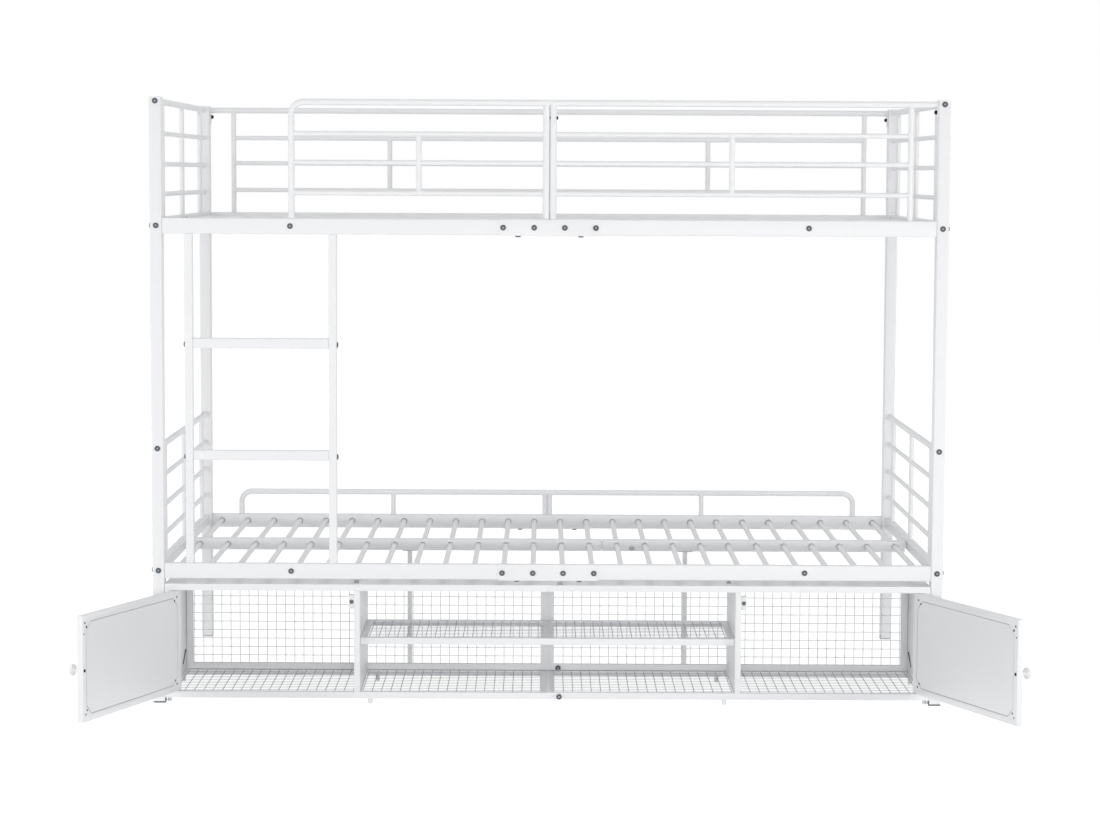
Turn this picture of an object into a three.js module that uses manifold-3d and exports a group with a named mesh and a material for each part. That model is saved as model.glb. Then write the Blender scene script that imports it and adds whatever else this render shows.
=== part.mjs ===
// Metal bunk bed with a low wire cabinet and two hinged doors under the lower bunk.
// Millimetres. X runs along the bed, Y from its front to its back and Z up.
// The origin is on the floor, under the middle of the four posts.

import * as THREE from 'three';
import { mergeVertices } from 'three/addons/utils/BufferGeometryUtils.js';
import Module from 'manifold-3d';

// Sizes of the whole bed
const bedLength = 1980;
const bedDepth = 1020;
const postHeight = 1515;
const clearance = 0.3;
const overrun = 5;

// Corner posts and the plugs that they stand on
const postWidth = 30;
const postDepth = 36;
const postWall = 1.2;
const plugFlangeHeight = 3.7;
const plugSpigotLength = 18;

// Side rails, welded with the mid rail and the slats into half decks
const railHeight = 39;
const railThickness = 20;
const railSetback = 2;
const railWall = 1.2;
const lowerRailTop = 354.3;
const upperRailDrop = 298.5;
const midRailWidth = 30;
const midRailHeight = 30;
const midRailDrop = 4;
const seamShift = 2.2;
const tongueEndGap = 2.5;
const tongueSeat = 8;
const slatsPerHalf = 13;
const seamSlatCount = 2;
const slatEndSpace = 27.2;
const slatDiameter = 14;
const slatBore = 12.2;

// Angle plates that splice the side rails in the middle
const spliceLength = 250;
const spliceSheet = 1.5;
const spliceLipDepth = 17;

// End panels between the front and rear posts
const endTopTubeDiameter = 16;
const endBarDiameter = 12;
const endBarWall = 1;
const endUprightDiameter = 12.7;
const endRailWidth = 20;
const endRailHeight = 29;
const endPanelRise = 288;
const endPanelShift = 1;
const endUprightReach = 375;
const endBarShares = [0.199, 0.46, 0.726];
const endUprightShares = [-1, 0, 1];

// Guard rails of the upper bunk and the low guard behind the lower bunk
const guardInset = 14;
const guardRise = 287;
const guardTubeDiameter = 16;
const guardBarDiameter = 12.5;
const guardShortUprightDiameter = 14;
const guardBendRadius = 30;
const guardCentreGap = 3.4;
const guardEntryWidth = 312;
const guardEndReach = 66;
const guardEarWidth = 20;
const guardEarDrop = 37;
const guardEarSheet = 2.5;
const lowGuardRise = 64.2;
const lowGuardEndReach = 84;
const guardBarShares = [0.22, 0.483, 0.73];
const guardShortUprightShare = 0.5;

// Ladder between the two front side rails
const stileWidth = 20;
const stileDepth = 22;
const stileSetback = 6;
const stileWall = 1.2;
const ladderOffset = 53.7;
const ladderWidth = 378;
const rungHeight = 25;
const rungDepth = 18;
const rungPitch = 280;
const firstRungRise = 271;

// Legs under the lower mid rail
const centreLegSpread = 370;
const centreLegWidth = 12;
const centreLegDepth = 25;
const centreLegPlateLength = 40;
const centreLegPlateHeight = 2;

// Cabinet between the posts, under the lower bunk
const cabinetGap = 0.5;
const cabinetDepth = 320;
const cabinetTop = 302.2;
const cabinetSheet = 1.2;
const topRailHeight = 16.2;
const topRailFlange = 15;
const baseBottom = 13.6;
const baseTop = 29.8;
const baseFrontFlange = 16;
const baseFlange = 17;
const baseCrossWidth = 20;
const sidePanelThickness = 13.5;
const dividerThickness = 14.5;
const dividerSpread = 471;
const backFrameDepth = 15;
const backStileWidth = 17.5;
const backRailHeight = 18;
const shelfTop = 164.5;
const shelfSetback = 19;
const shelfBandHeight = 16.5;
const shelfFlange = 17;
const cabinetFootDiameter = 11;
const cornerFootEndInset = 7.5;
const cornerFootInset = 27;
const innerFootDividerGap = 26;

// Wire mesh panels, drawn as flat nets with a coarser pitch than the real wires
const wireDiameter = 2.8;
const wirePitch = 23.6;
const wiresPerGap = 4;
const meshOverlap = 3;

// Doors, their pins, knobs and catches
const doorThickness = 15;
const doorSheet = 1;
const doorHingeGap = 3;
const doorFreeGap = 1;
const doorEndGap = 0.8;
const doorBorder = 16;
const doorCornerCut = 22;
const doorRecessDepth = 1.5;
const pivotInset = 11;
const pinDiameter = 6;
const pinHeadDiameter = 9;
const pinHeadHeight = 2;
const pinReach = 9;
const leftDoorAngle = 112.8;
const rightDoorAngle = 114.6;
const knobInset = 7.7;
const knobDrop = 3.8;
const knobDiameter = 28.5;
const knobNeckDiameter = 9;
const knobProjection = 24.4;
const catchWidth = 14;
const catchDepth = 14;
const catchHeight = 35;
const catchRise = 226;
const catchDoorGap = 0.6;
const magnetDiameter = 10;
const magnetThickness = 1.5;

// Facets of round pieces
const tubeSides = 8;
const barSides = 6;
const pinSides = 12;
const knobSides = 16;
const bendSteps = 4;

// Places that several pieces share
const halfLength = bedLength / 2;
const halfDepth = bedDepth / 2;
const betweenPosts = halfLength - postWidth - clearance;
const railMiddle = railHeight / 2;
const upperRailTop = postHeight - upperRailDrop;
const slatPitch = (betweenPosts - slatEndSpace) / (slatsPerHalf - 1 / 2);
const midRailSeam = seamSlatCount * slatPitch - seamShift;
const tongueEnd = (seamSlatCount + 1 / 2) * slatPitch - slatDiameter / 2 - tongueEndGap;
const guardCentreOffset = (guardTubeDiameter + guardCentreGap) / 2;
const cabinetHalfWidth = halfLength - postWidth - cabinetGap;
const cabinetFront = -halfDepth;
const cabinetRear = cabinetFront + cabinetDepth;
const cabinetInner = cabinetHalfWidth - sidePanelThickness;
const backFrameFront = cabinetRear - backFrameDepth;
const panelBottom = baseTop + clearance;
const panelTop = cabinetTop - cabinetSheet - clearance;
const topRailBottom = cabinetTop - topRailHeight;
const centreSeam = clearance / 2;

const wasm = await Module();
wasm.setup();

const toRadians = THREE.MathUtils.degToRad;

// Finishes, with the colours of the photographed bed
const whitePowderCoat = { color: 0xf0f1f2, roughness: 0.45, metalness: 0 };
const whiteWire = { color: 0xe6e8ea, roughness: 0.4, metalness: 0 };
const zincPlate = { color: 0xa7abb0, roughness: 0.35, metalness: 1 };
const greyPlastic = { color: 0x5d6064, roughness: 0.6, metalness: 0 };
const whitePlastic = { color: 0xf4f4f2, roughness: 0.35, metalness: 0 };
const darkMagnet = { color: 0x3b3d40, roughness: 0.5, metalness: 0.6 };

// A closed geometry becomes a solid that can be joined and cut
function toSolid(geometry) {
  geometry.deleteAttribute('normal');
  geometry.deleteAttribute('uv');
  const merged = mergeVertices(geometry);
  const mesh = new wasm.Mesh({
    numProp: 3,
    vertProperties: new Float32Array(merged.attributes.position.array),
    triVerts: new Uint32Array(merged.index.array),
  });
  return new wasm.Manifold(mesh);
}

function toGeometry(solid) {
  const mesh = solid.getMesh();
  const geometry = new THREE.BufferGeometry();
  const positions = new Float32Array(mesh.vertProperties);
  geometry.setAttribute('position', new THREE.BufferAttribute(positions, 3));
  geometry.setIndex(new THREE.BufferAttribute(new Uint32Array(mesh.triVerts), 1));
  geometry.computeVertexNormals();
  return geometry;
}

function joined(solids) {
  return solids.reduce((whole, solid) => whole.add(solid));
}

function without(solid, cutters) {
  return cutters.reduce((whole, cutter) => whole.subtract(cutter), solid);
}

// Spans are pairs of a low and a high coordinate
function centred(middle, width) {
  return [middle - width / 2, middle + width / 2];
}

function onSide(side, near, far) {
  return side < 0 ? [-far, -near] : [near, far];
}

function shrunk(span, margin) {
  return [span[0] + margin, span[1] - margin];
}

function grown(span, margin) {
  return shrunk(span, -margin);
}

function block(x, y, z) {
  const geometry = new THREE.BoxGeometry(x[1] - x[0], y[1] - y[0], z[1] - z[0]);
  geometry.translate((x[0] + x[1]) / 2, (y[0] + y[1]) / 2, (z[0] + z[1]) / 2);
  return toSolid(geometry);
}

// A rectangular tube, open at both ends of its named axis
function boxTube(axis, x, y, z, wall) {
  const spans = { x, y, z };
  const bore = ['x', 'y', 'z'].map((name) => {
    return name === axis ? grown(spans[name], overrun) : shrunk(spans[name], wall);
  });
  return block(x, y, z).subtract(block(...bore));
}

// Corner radius of a regular prism that has the section area of a round bar
function facetedRadius(diameter, sides) {
  const turn = (2 * Math.PI) / sides;
  return (diameter / 2) * Math.sqrt(turn / Math.sin(turn));
}

// A round bar along an axis, with a flat facet on top; middle holds its other two coordinates
function rod(axis, diameter, span, middle, sides = tubeSides) {
  const radius = facetedRadius(diameter, sides);
  const geometry = new THREE.CylinderGeometry(radius, radius, span[1] - span[0], sides);
  geometry.rotateY(Math.PI / sides);
  const along = (span[0] + span[1]) / 2;
  if (axis === 'x') {
    geometry.rotateZ(Math.PI / 2);
    geometry.translate(along, middle[0], middle[1]);
  } else if (axis === 'y') {
    geometry.translate(middle[0], along, middle[1]);
  } else {
    geometry.rotateX(Math.PI / 2);
    geometry.translate(middle[0], middle[1], along);
  }
  return toSolid(geometry);
}

// A path that is followed only through its own stations, with their own directions
class StationPath extends THREE.Curve {
  constructor(stations) {
    super();
    this.stations = stations;
  }

  station(share) {
    return this.stations[Math.round(share * (this.stations.length - 1))];
  }

  getPoint(share, target = new THREE.Vector3()) {
    return target.copy(this.station(share).point);
  }

  getPointAt(share, target = new THREE.Vector3()) {
    return this.getPoint(share, target);
  }

  getTangentAt(share, target = new THREE.Vector3()) {
    return target.copy(this.station(share).direction);
  }
}

function roundSection(diameter, sides) {
  const radius = facetedRadius(diameter, sides);
  const points = [];
  for (let index = 0; index < sides; index += 1) {
    const angle = ((index + 1 / 2) * 2 * Math.PI) / sides;
    points.push(new THREE.Vector2(radius * Math.cos(angle), radius * Math.sin(angle)));
  }
  return new THREE.Shape(points);
}

// A tube that rises at x, bends inwards through a quarter turn and runs level to endX
function bentTube(x, endX, y, foot, top, diameter, bendRadius) {
  const inwards = Math.sign(endX - x);
  const centre = new THREE.Vector3(x + inwards * bendRadius, y, top - bendRadius);
  const stations = [{ point: new THREE.Vector3(x, y, foot), direction: new THREE.Vector3(0, 0, 1) }];
  for (let step = 0; step <= bendSteps; step += 1) {
    const angle = (step / bendSteps) * (Math.PI / 2);
    const arm = new THREE.Vector3(-inwards * Math.cos(angle), 0, Math.sin(angle));
    const point = centre.clone().addScaledVector(arm, bendRadius);
    const direction = new THREE.Vector3(inwards * Math.sin(angle), 0, Math.cos(angle));
    stations.push({ point, direction });
  }
  stations.push({ point: new THREE.Vector3(endX, y, top), direction: new THREE.Vector3(inwards, 0, 0) });
  const geometry = new THREE.ExtrudeGeometry(roundSection(diameter, tubeSides), {
    steps: stations.length - 1,
    bevelEnabled: false,
    extrudePath: new StationPath(stations),
  });
  return toSolid(geometry);
}

// A closed outline of points in the XZ plane, thickened along Y
function plateAlongY(shape, y) {
  const geometry = new THREE.ExtrudeGeometry(shape, { depth: y[1] - y[0], bevelEnabled: false });
  geometry.rotateX(Math.PI / 2);
  geometry.translate(0, y[1], 0);
  return toSolid(geometry);
}

const bed = new THREE.Group();

function addPiece(name, solid, finish, parent = bed) {
  const mesh = new THREE.Mesh(toGeometry(solid), new THREE.MeshStandardMaterial(finish));
  mesh.name = name;
  parent.add(mesh);
  return mesh;
}

// The two ends of the bed and its two long faces
const ends = [
  { side: -1, name: 'left' },
  { side: 1, name: 'right' },
];
const faces = [
  { face: -1, name: 'front' },
  { face: 1, name: 'rear' },
];
const bunks = [
  { name: 'lower', railTop: lowerRailTop },
  { name: 'upper', railTop: upperRailTop },
];

// Corner posts are tubes with a closed top, and stand on plastic plugs
function post(side, face) {
  const x = onSide(side, halfLength - postWidth, halfLength);
  const y = onSide(face, halfDepth - postDepth, halfDepth);
  const foot = plugFlangeHeight + clearance;
  const bore = block(shrunk(x, postWall), shrunk(y, postWall), [foot - overrun, postHeight - postWall]);
  return block(x, y, [foot, postHeight]).subtract(bore);
}

function footPlug(side, face) {
  const x = onSide(side, halfLength - postWidth, halfLength);
  const y = onSide(face, halfDepth - postDepth, halfDepth);
  const fit = postWall + clearance;
  const spigotTop = plugFlangeHeight + plugSpigotLength;
  const spigot = block(shrunk(x, fit), shrunk(y, fit), [plugFlangeHeight / 2, spigotTop]);
  return block(x, y, [0, plugFlangeHeight]).add(spigot);
}

for (const { side, name: sideName } of ends) {
  for (const { face, name: faceName } of faces) {
    addPiece(`post_${faceName}_${sideName}`, post(side, face), whitePowderCoat);
    addPiece(`foot_plug_${faceName}_${sideName}`, footPlug(side, face), greyPlastic);
  }
}

// End panels have a bottom rail, a top tube, three bars and three uprights between the posts
function endPanel(side, railTop) {
  const x = side * (halfLength - postWidth / 2 + endPanelShift);
  const reach = halfDepth - postDepth - clearance;
  const along = [-reach, reach];
  const topZ = railTop + endPanelRise;
  const railZ = [railTop - endRailHeight, railTop];
  const solids = [block(centred(x, endRailWidth), along, railZ)];
  const bores = [block(
    centred(x, endRailWidth - 2 * railWall),
    grown(along, overrun),
    shrunk(railZ, railWall),
  )];
  solids.push(rod('y', endTopTubeDiameter, along, [x, topZ]));
  bores.push(rod('y', endTopTubeDiameter - 2 * endBarWall, grown(along, overrun), [x, topZ], barSides));
  for (const share of endBarShares) {
    const middle = [x, railTop + share * endPanelRise];
    solids.push(rod('y', endBarDiameter, along, middle, barSides));
    bores.push(rod('y', endBarDiameter - 2 * endBarWall, grown(along, overrun), middle, barSides));
  }
  for (const share of endUprightShares) {
    const upright = [railTop - railWall / 2, topZ - endTopTubeDiameter / 2 + endBarWall / 2];
    solids.push(rod('z', endUprightDiameter, upright, [x, share * endUprightReach], barSides));
  }
  return without(joined(solids), bores);
}

for (const { name: bunkName, railTop } of bunks) {
  for (const { side, name: sideName } of ends) {
    addPiece(`end_panel_${bunkName}_${sideName}`, endPanel(side, railTop), whitePowderCoat);
  }
}

// A half deck is a front and a rear rail, a length of mid rail and the slats between them
function railY(face) {
  return onSide(face, halfDepth - railSetback - railThickness, halfDepth - railSetback);
}

function slatX(side, index) {
  return side * (index + 1 / 2) * slatPitch;
}

function midRail(x, railTop) {
  const z = [railTop - midRailDrop - midRailHeight, railTop - midRailDrop];
  return boxTube('x', x, centred(0, midRailWidth), z, railWall);
}

// The left mid rail reaches past the middle and ends in a tongue that fits inside the right one
function tongue(railTop) {
  const z = [railTop - midRailDrop - midRailHeight, railTop - midRailDrop];
  const y = centred(0, midRailWidth);
  const fit = railWall + clearance;
  const seat = block([midRailSeam - tongueSeat, midRailSeam - centreSeam], shrunk(y, railWall / 2),
    shrunk(z, railWall / 2));
  const x = [midRailSeam - tongueSeat, tongueEnd];
  const bore = block(grown(x, overrun), shrunk(y, fit + railWall), shrunk(z, fit + railWall));
  return seat.add(block(x, shrunk(y, fit), shrunk(z, fit))).subtract(bore);
}

function deckHalf(side, railTop) {
  const slatZ = railTop - railMiddle;
  const railInner = halfDepth - railSetback - railThickness;
  const slatSpan = [-railInner - railWall / 2, railInner + railWall / 2];
  const boreSpan = grown(slatSpan, railWall);
  const railX = onSide(side, centreSeam, betweenPosts);
  const leftMidX = [-betweenPosts, midRailSeam - centreSeam];
  const rightMidX = [midRailSeam + centreSeam, betweenPosts];
  const solids = faces.map(({ face }) => {
    return boxTube('x', railX, railY(face), [railTop - railHeight, railTop], railWall);
  });
  solids.push(midRail(side < 0 ? leftMidX : rightMidX, railTop));
  if (side < 0) {
    solids.push(tongue(railTop));
  }
  const bores = [];
  for (let index = 0; index < slatsPerHalf; index += 1) {
    const middle = [slatX(side, index), slatZ];
    solids.push(rod('y', slatDiameter, slatSpan, middle, barSides));
    bores.push(rod('y', slatBore, boreSpan, middle, barSides));
    if (side < 0 && index < seamSlatCount) {
      const hole = slatDiameter + 2 * clearance;
      const crossing = [slatX(-side, index), slatZ];
      bores.push(rod('y', hole, centred(0, midRailWidth + overrun), crossing, barSides));
    }
  }
  return without(joined(solids), bores);
}

for (const { name: bunkName, railTop } of bunks) {
  for (const { side, name: sideName } of ends) {
    addPiece(`deck_${bunkName}_${sideName}`, deckHalf(side, railTop), whitePowderCoat);
  }
}

// A splice plate lies in front of a side rail and turns under it
function splicePlate(face, railTop) {
  const x = centred(0, spliceLength);
  const railFace = halfDepth - railSetback;
  const under = railTop - railHeight - clearance;
  const outside = [railFace + clearance, railFace + clearance + spliceSheet];
  const lip = [outside[1] - spliceLipDepth, outside[1]];
  const plate = block(x, onSide(face, ...outside), [under - spliceSheet, railTop]);
  return plate.add(block(x, onSide(face, ...lip), [under - spliceSheet, under]));
}

for (const { name: bunkName, railTop } of bunks) {
  for (const { face, name: faceName } of faces) {
    addPiece(`splice_plate_${faceName}_${bunkName}`, splicePlate(face, railTop), whitePowderCoat);
  }
}

// Guards stand on the rails; each has a top tube, level bars and uprights
function guardBars(xSpan, y, railTop, rise) {
  return guardBarShares.map((share) => {
    return rod('x', guardBarDiameter, xSpan, [y, railTop + share * rise], barSides);
  });
}

function uprightTube(x, y, railTop, rise) {
  return rod('z', guardTubeDiameter, [railTop + clearance, railTop + rise], [x, y]);
}

// The left front guard leaves the way in beside the ladder and turns down beside it
function frontGuardLeft() {
  const y = -halfDepth + guardInset;
  const top = upperRailTop + guardRise;
  const outerX = -halfLength + postWidth + guardEntryWidth + guardTubeDiameter / 2;
  const span = [outerX, -guardCentreOffset];
  const middle = outerX + (span[1] - span[0]) * guardShortUprightShare;
  const shortZ = [
    upperRailTop + guardBarShares[0] * guardRise,
    upperRailTop + guardBarShares[guardBarShares.length - 1] * guardRise,
  ];
  return joined([
    bentTube(outerX, -centreSeam, y, upperRailTop + clearance, top, guardTubeDiameter, guardBendRadius),
    uprightTube(span[1], y, upperRailTop, guardRise),
    rod('z', guardShortUprightDiameter, shortZ, [middle, y], barSides),
    ...guardBars(span, y, upperRailTop, guardRise),
  ]);
}

// An ear is the plate at the end of a top tube that is bolted to the post's inner face
function guardEar(side, y, top) {
  const x = onSide(side, betweenPosts - guardEarSheet, betweenPosts);
  return block(x, centred(y, guardEarWidth), [top - guardEarDrop, top]);
}

// The other upper guards run from the middle to a post, where only the top tube and its ear reach it
function guardToPost(side, face) {
  const y = face * (halfDepth - guardInset);
  const top = upperRailTop + guardRise;
  const centreX = side * guardCentreOffset;
  const endX = side * (halfLength - postWidth - guardEndReach);
  const span = onSide(side, guardCentreOffset, Math.abs(endX));
  const middle = centreX + (endX - centreX) * guardShortUprightShare;
  const shortZ = [
    upperRailTop + guardBarShares[0] * guardRise,
    upperRailTop + guardBarShares[guardBarShares.length - 1] * guardRise,
  ];
  return joined([
    rod('x', guardTubeDiameter, onSide(side, centreSeam, betweenPosts), [y, top]),
    guardEar(side, y, top),
    uprightTube(centreX, y, upperRailTop, guardRise),
    rod('z', guardShortUprightDiameter, [upperRailTop + clearance, top], [endX, y]),
    rod('z', guardShortUprightDiameter, shortZ, [middle, y], barSides),
    ...guardBars(span, y, upperRailTop, guardRise),
  ]);
}

// The low guard stands behind the lower bunk
function lowGuard(side) {
  const y = halfDepth - guardInset;
  const outerX = side * (halfLength - postWidth - lowGuardEndReach);
  const centreX = side * guardCentreOffset;
  const middle = centreX + (outerX - centreX) * guardShortUprightShare;
  const foot = lowerRailTop + clearance;
  const top = lowerRailTop + lowGuardRise;
  return joined([
    bentTube(outerX, side * centreSeam, y, foot, top, guardTubeDiameter, guardBendRadius),
    uprightTube(centreX, y, lowerRailTop, lowGuardRise),
    rod('z', guardShortUprightDiameter, [foot, top], [middle, y], barSides),
  ]);
}

addPiece('guard_front_left', frontGuardLeft(), whitePowderCoat);
addPiece('guard_front_right', guardToPost(1, -1), whitePowderCoat);
for (const { side, name: sideName } of ends) {
  addPiece(`guard_rear_${sideName}`, guardToPost(side, 1), whitePowderCoat);
  addPiece(`low_guard_${sideName}`, lowGuard(side), whitePowderCoat);
}

// The ladder's stiles stand on the lower front rail and reach the upper one
const ladderZ = [lowerRailTop + clearance, upperRailTop - railHeight - clearance];
const ladderLeft = -halfLength + postWidth + ladderOffset;
const stileY = [-halfDepth + stileSetback, -halfDepth + stileSetback + stileDepth];
const stiles = [
  { name: 'outer', x: [ladderLeft, ladderLeft + stileWidth] },
  { name: 'inner', x: [ladderLeft + ladderWidth - stileWidth, ladderLeft + ladderWidth] },
];
for (const { name, x } of stiles) {
  addPiece(`ladder_stile_${name}`, boxTube('z', x, stileY, ladderZ, stileWall), whitePowderCoat);
}

const rungX = [stiles[0].x[1] + clearance, stiles[1].x[0] - clearance];
const rungY = centred((stileY[0] + stileY[1]) / 2, rungDepth);
const rungs = [
  { name: 'lower', rise: firstRungRise },
  { name: 'upper', rise: firstRungRise + rungPitch },
];
for (const { name, rise } of rungs) {
  const z = centred(lowerRailTop + rise, rungHeight);
  addPiece(`ladder_rung_${name}`, boxTube('x', rungX, rungY, z, stileWall), whitePowderCoat);
}

// Centre legs carry the lower mid rail with a plate that is bolted under it
function centreLeg(side) {
  const top = lowerRailTop - midRailDrop - midRailHeight - clearance;
  const x = centred(side * centreLegSpread, centreLegWidth);
  const y = centred(0, centreLegDepth);
  const plateX = centred(side * centreLegSpread, centreLegPlateLength);
  const plate = block(plateX, y, [top - centreLegPlateHeight, top]);
  const bore = block(shrunk(x, railWall), shrunk(y, railWall), [-overrun, top - centreLegPlateHeight]);
  return block(x, y, [0, top]).add(plate).subtract(bore);
}

for (const { side, name } of ends) {
  addPiece(`centre_leg_${name}`, centreLeg(side), whitePowderCoat);
}

// Where the left and right door pivots stand
const pivotReach = cabinetInner - doorHingeGap - pivotInset;
const pivotY = cabinetFront + doorThickness / 2;

function pinHole(side, zSpan) {
  return rod('z', pinDiameter + 2 * clearance, grown(zSpan, overrun), [side * pivotReach, pivotY], pinSides);
}

// Each cabinet top is a sheet whose front edge is folded into a rail with a flange under it
function cabinetTopHalf(side) {
  const x = onSide(side, centreSeam, cabinetHalfWidth);
  const sheet = block(x, [cabinetFront, cabinetRear], [cabinetTop - cabinetSheet, cabinetTop]);
  const wall = block(x, [cabinetFront, cabinetFront + cabinetSheet], [topRailBottom, cabinetTop]);
  const flangeZ = [topRailBottom, topRailBottom + cabinetSheet];
  const flange = block(x, [cabinetFront, cabinetFront + topRailFlange], flangeZ);
  return without(joined([sheet, wall, flange]), [pinHole(side, flangeZ)]);
}

// A flat frame that is folded down all round, with windows cut through its top
function foldedFrame(x, y, z, windows) {
  const hollowZ = [z[0] - overrun, z[1] - cabinetSheet];
  const hollow = block(shrunk(x, cabinetSheet), shrunk(y, cabinetSheet), hollowZ);
  const cuts = windows.map((window) => block(window.x, window.y, [z[0], z[1] + overrun]));
  return without(block(x, y, z), [hollow, ...cuts]);
}

// Each base frame has a window under its bay and one under the open middle, and four feet
const baseY = [cabinetFront, cabinetRear];
const baseWindowY = [cabinetFront + baseFrontFlange, cabinetRear - baseFlange];
const dividerMiddle = dividerSpread + dividerThickness / 2;
const innerFootReach = dividerSpread - innerFootDividerGap;
const innerFootInset = cabinetSheet + cabinetFootDiameter / 2 + clearance;
const meshTop = baseTop - cabinetSheet - clearance;

function cabinetBase(side) {
  const x = onSide(side, centreSeam, cabinetHalfWidth);
  const crossing = centred(dividerMiddle, baseCrossWidth);
  const windows = [
    { x: onSide(side, centreSeam + baseFlange, crossing[0]), y: baseWindowY },
    { x: onSide(side, crossing[1], cabinetHalfWidth - baseFlange), y: baseWindowY },
  ];
  const frame = foldedFrame(x, baseY, [baseBottom, baseTop], windows);
  const feet = [];
  const cornerReach = cabinetHalfWidth - cornerFootEndInset;
  const footPlaces = [
    { reach: cornerReach, inset: cornerFootInset },
    { reach: innerFootReach, inset: innerFootInset },
  ];
  for (const { reach, inset } of footPlaces) {
    for (const y of [cabinetFront + inset, cabinetRear - inset]) {
      feet.push(rod('z', cabinetFootDiameter, [0, baseTop - cabinetSheet / 2], [side * reach, y]));
    }
  }
  return without(joined([frame, ...feet]), [pinHole(side, [baseTop - cabinetSheet, baseTop])]);
}

// Back frames are folded rings that hold the wire mesh behind their front flange
const backWindowZ = [panelBottom + backRailHeight, panelTop - backStileWidth];

function cabinetBackFrame(side) {
  const x = onSide(side, centreSeam, cabinetInner - clearance);
  const y = [backFrameFront, cabinetRear];
  const z = [panelBottom, panelTop];
  const hollowY = [y[0] + cabinetSheet, y[1] + overrun];
  const hollow = block(shrunk(x, cabinetSheet), hollowY, shrunk(z, cabinetSheet));
  const window = block(shrunk(x, backStileWidth), grown(y, overrun), backWindowZ);
  return without(block(x, y, z), [hollow, window]);
}

// Side panels are trays with their flat face inside; dividers are closed at both faces.
// Both are notched at the top of the front edge, where the top rail's flange passes.
function railNotch(x) {
  const y = [cabinetFront - overrun, cabinetFront + topRailFlange + clearance];
  return block(grown(x, overrun), y, [topRailBottom - clearance, cabinetTop + overrun]);
}

function cabinetSide(side) {
  const x = onSide(side, cabinetInner, cabinetHalfWidth);
  const y = [cabinetFront, cabinetRear];
  const z = [panelBottom, panelTop];
  const notchZ = topRailBottom - clearance;
  const hollowX = onSide(side, cabinetInner + cabinetSheet, cabinetHalfWidth + overrun);
  const lowHollow = block(hollowX, shrunk(y, cabinetSheet), [z[0] + cabinetSheet, notchZ - cabinetSheet]);
  const rearY = [cabinetFront + topRailFlange + clearance + cabinetSheet, cabinetRear - cabinetSheet];
  const highHollow = block(hollowX, rearY, [z[0] + cabinetSheet, z[1] - cabinetSheet]);
  return without(block(x, y, z), [lowHollow, highHollow, railNotch(x)]);
}

function cabinetDivider(side) {
  const x = onSide(side, dividerSpread, dividerSpread + dividerThickness);
  const y = [cabinetFront, backFrameFront - clearance];
  const z = [panelBottom, panelTop];
  const notchZ = topRailBottom - clearance;
  const hollowX = shrunk(x, cabinetSheet);
  const hollowY = [cabinetFront + cabinetSheet, y[1] + overrun];
  const hollow = block(hollowX, hollowY, [z[0] + cabinetSheet, notchZ - cabinetSheet]);
  return without(block(x, y, z), [hollow, railNotch(x)]);
}

// Wire mesh is a flat net of square bars; the gaps keep one even pitch across the panel
function netGaps(span, pitch) {
  const count = Math.round((span[1] - span[0]) / pitch);
  const step = (span[1] - span[0] - wireDiameter) / count;
  const gaps = [];
  for (let index = 0; index < count; index += 1) {
    const start = span[0] + wireDiameter + index * step;
    gaps.push([start, start + step - wireDiameter]);
  }
  return gaps;
}

function net(across, up, toBlock) {
  const cuts = [];
  for (const acrossGap of netGaps(across, wirePitch * wiresPerGap)) {
    for (const upGap of netGaps(up, wirePitch * wiresPerGap)) {
      cuts.push(toBlock(acrossGap, upGap, overrun));
    }
  }
  return without(toBlock(across, up, 0), cuts);
}

function levelNet(x, y, top) {
  const z = [top - wireDiameter, top];
  return net(x, y, (across, up, extra) => block(across, up, grown(z, extra)));
}

function backMesh(side) {
  const inset = backStileWidth - meshOverlap;
  const x = onSide(side, centreSeam + inset, cabinetInner - clearance - inset);
  const front = backFrameFront + cabinetSheet + clearance;
  const y = [front, front + wireDiameter];
  const z = grown(backWindowZ, meshOverlap);
  return net(x, z, (across, up, extra) => block(across, grown(y, extra), up));
}

function baseMesh(side) {
  const x = onSide(side, centreSeam + baseFlange - meshOverlap, cabinetHalfWidth - baseFlange + meshOverlap);
  return levelNet(x, grown(baseWindowY, meshOverlap), meshTop);
}

for (const { side, name } of ends) {
  addPiece(`cabinet_top_${name}`, cabinetTopHalf(side), whitePowderCoat);
  addPiece(`cabinet_base_${name}`, cabinetBase(side), whitePowderCoat);
  addPiece(`cabinet_back_frame_${name}`, cabinetBackFrame(side), whitePowderCoat);
  addPiece(`cabinet_side_${name}`, cabinetSide(side), whitePowderCoat);
  addPiece(`cabinet_divider_${name}`, cabinetDivider(side), whitePowderCoat);
  addPiece(`mesh_back_${name}`, backMesh(side), whiteWire);
  addPiece(`mesh_base_${name}`, baseMesh(side), whiteWire);
}

// The shelf hangs between the dividers on a folded frame with a bar across its middle
const shelfX = [-dividerSpread + clearance, dividerSpread - clearance];
const shelfY = [cabinetFront + shelfSetback, backFrameFront - clearance];
const shelfWindowY = shrunk(shelfY, shelfFlange);
const shelfWindows = ends.map(({ side }) => ({
  x: onSide(side, shelfFlange / 2, shelfX[1] - shelfFlange),
  y: shelfWindowY,
}));
const shelfFrame = foldedFrame(shelfX, shelfY, [shelfTop - shelfBandHeight, shelfTop], shelfWindows);
const shelfMeshX = shrunk(shelfX, shelfFlange - meshOverlap);
const shelfMeshTop = shelfTop - cabinetSheet - clearance;
const shelfMesh = levelNet(shelfMeshX, grown(shelfWindowY, meshOverlap), shelfMeshTop);
addPiece('shelf_frame', shelfFrame, whitePowderCoat);
addPiece('mesh_shelf', shelfMesh, whiteWire);

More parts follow.
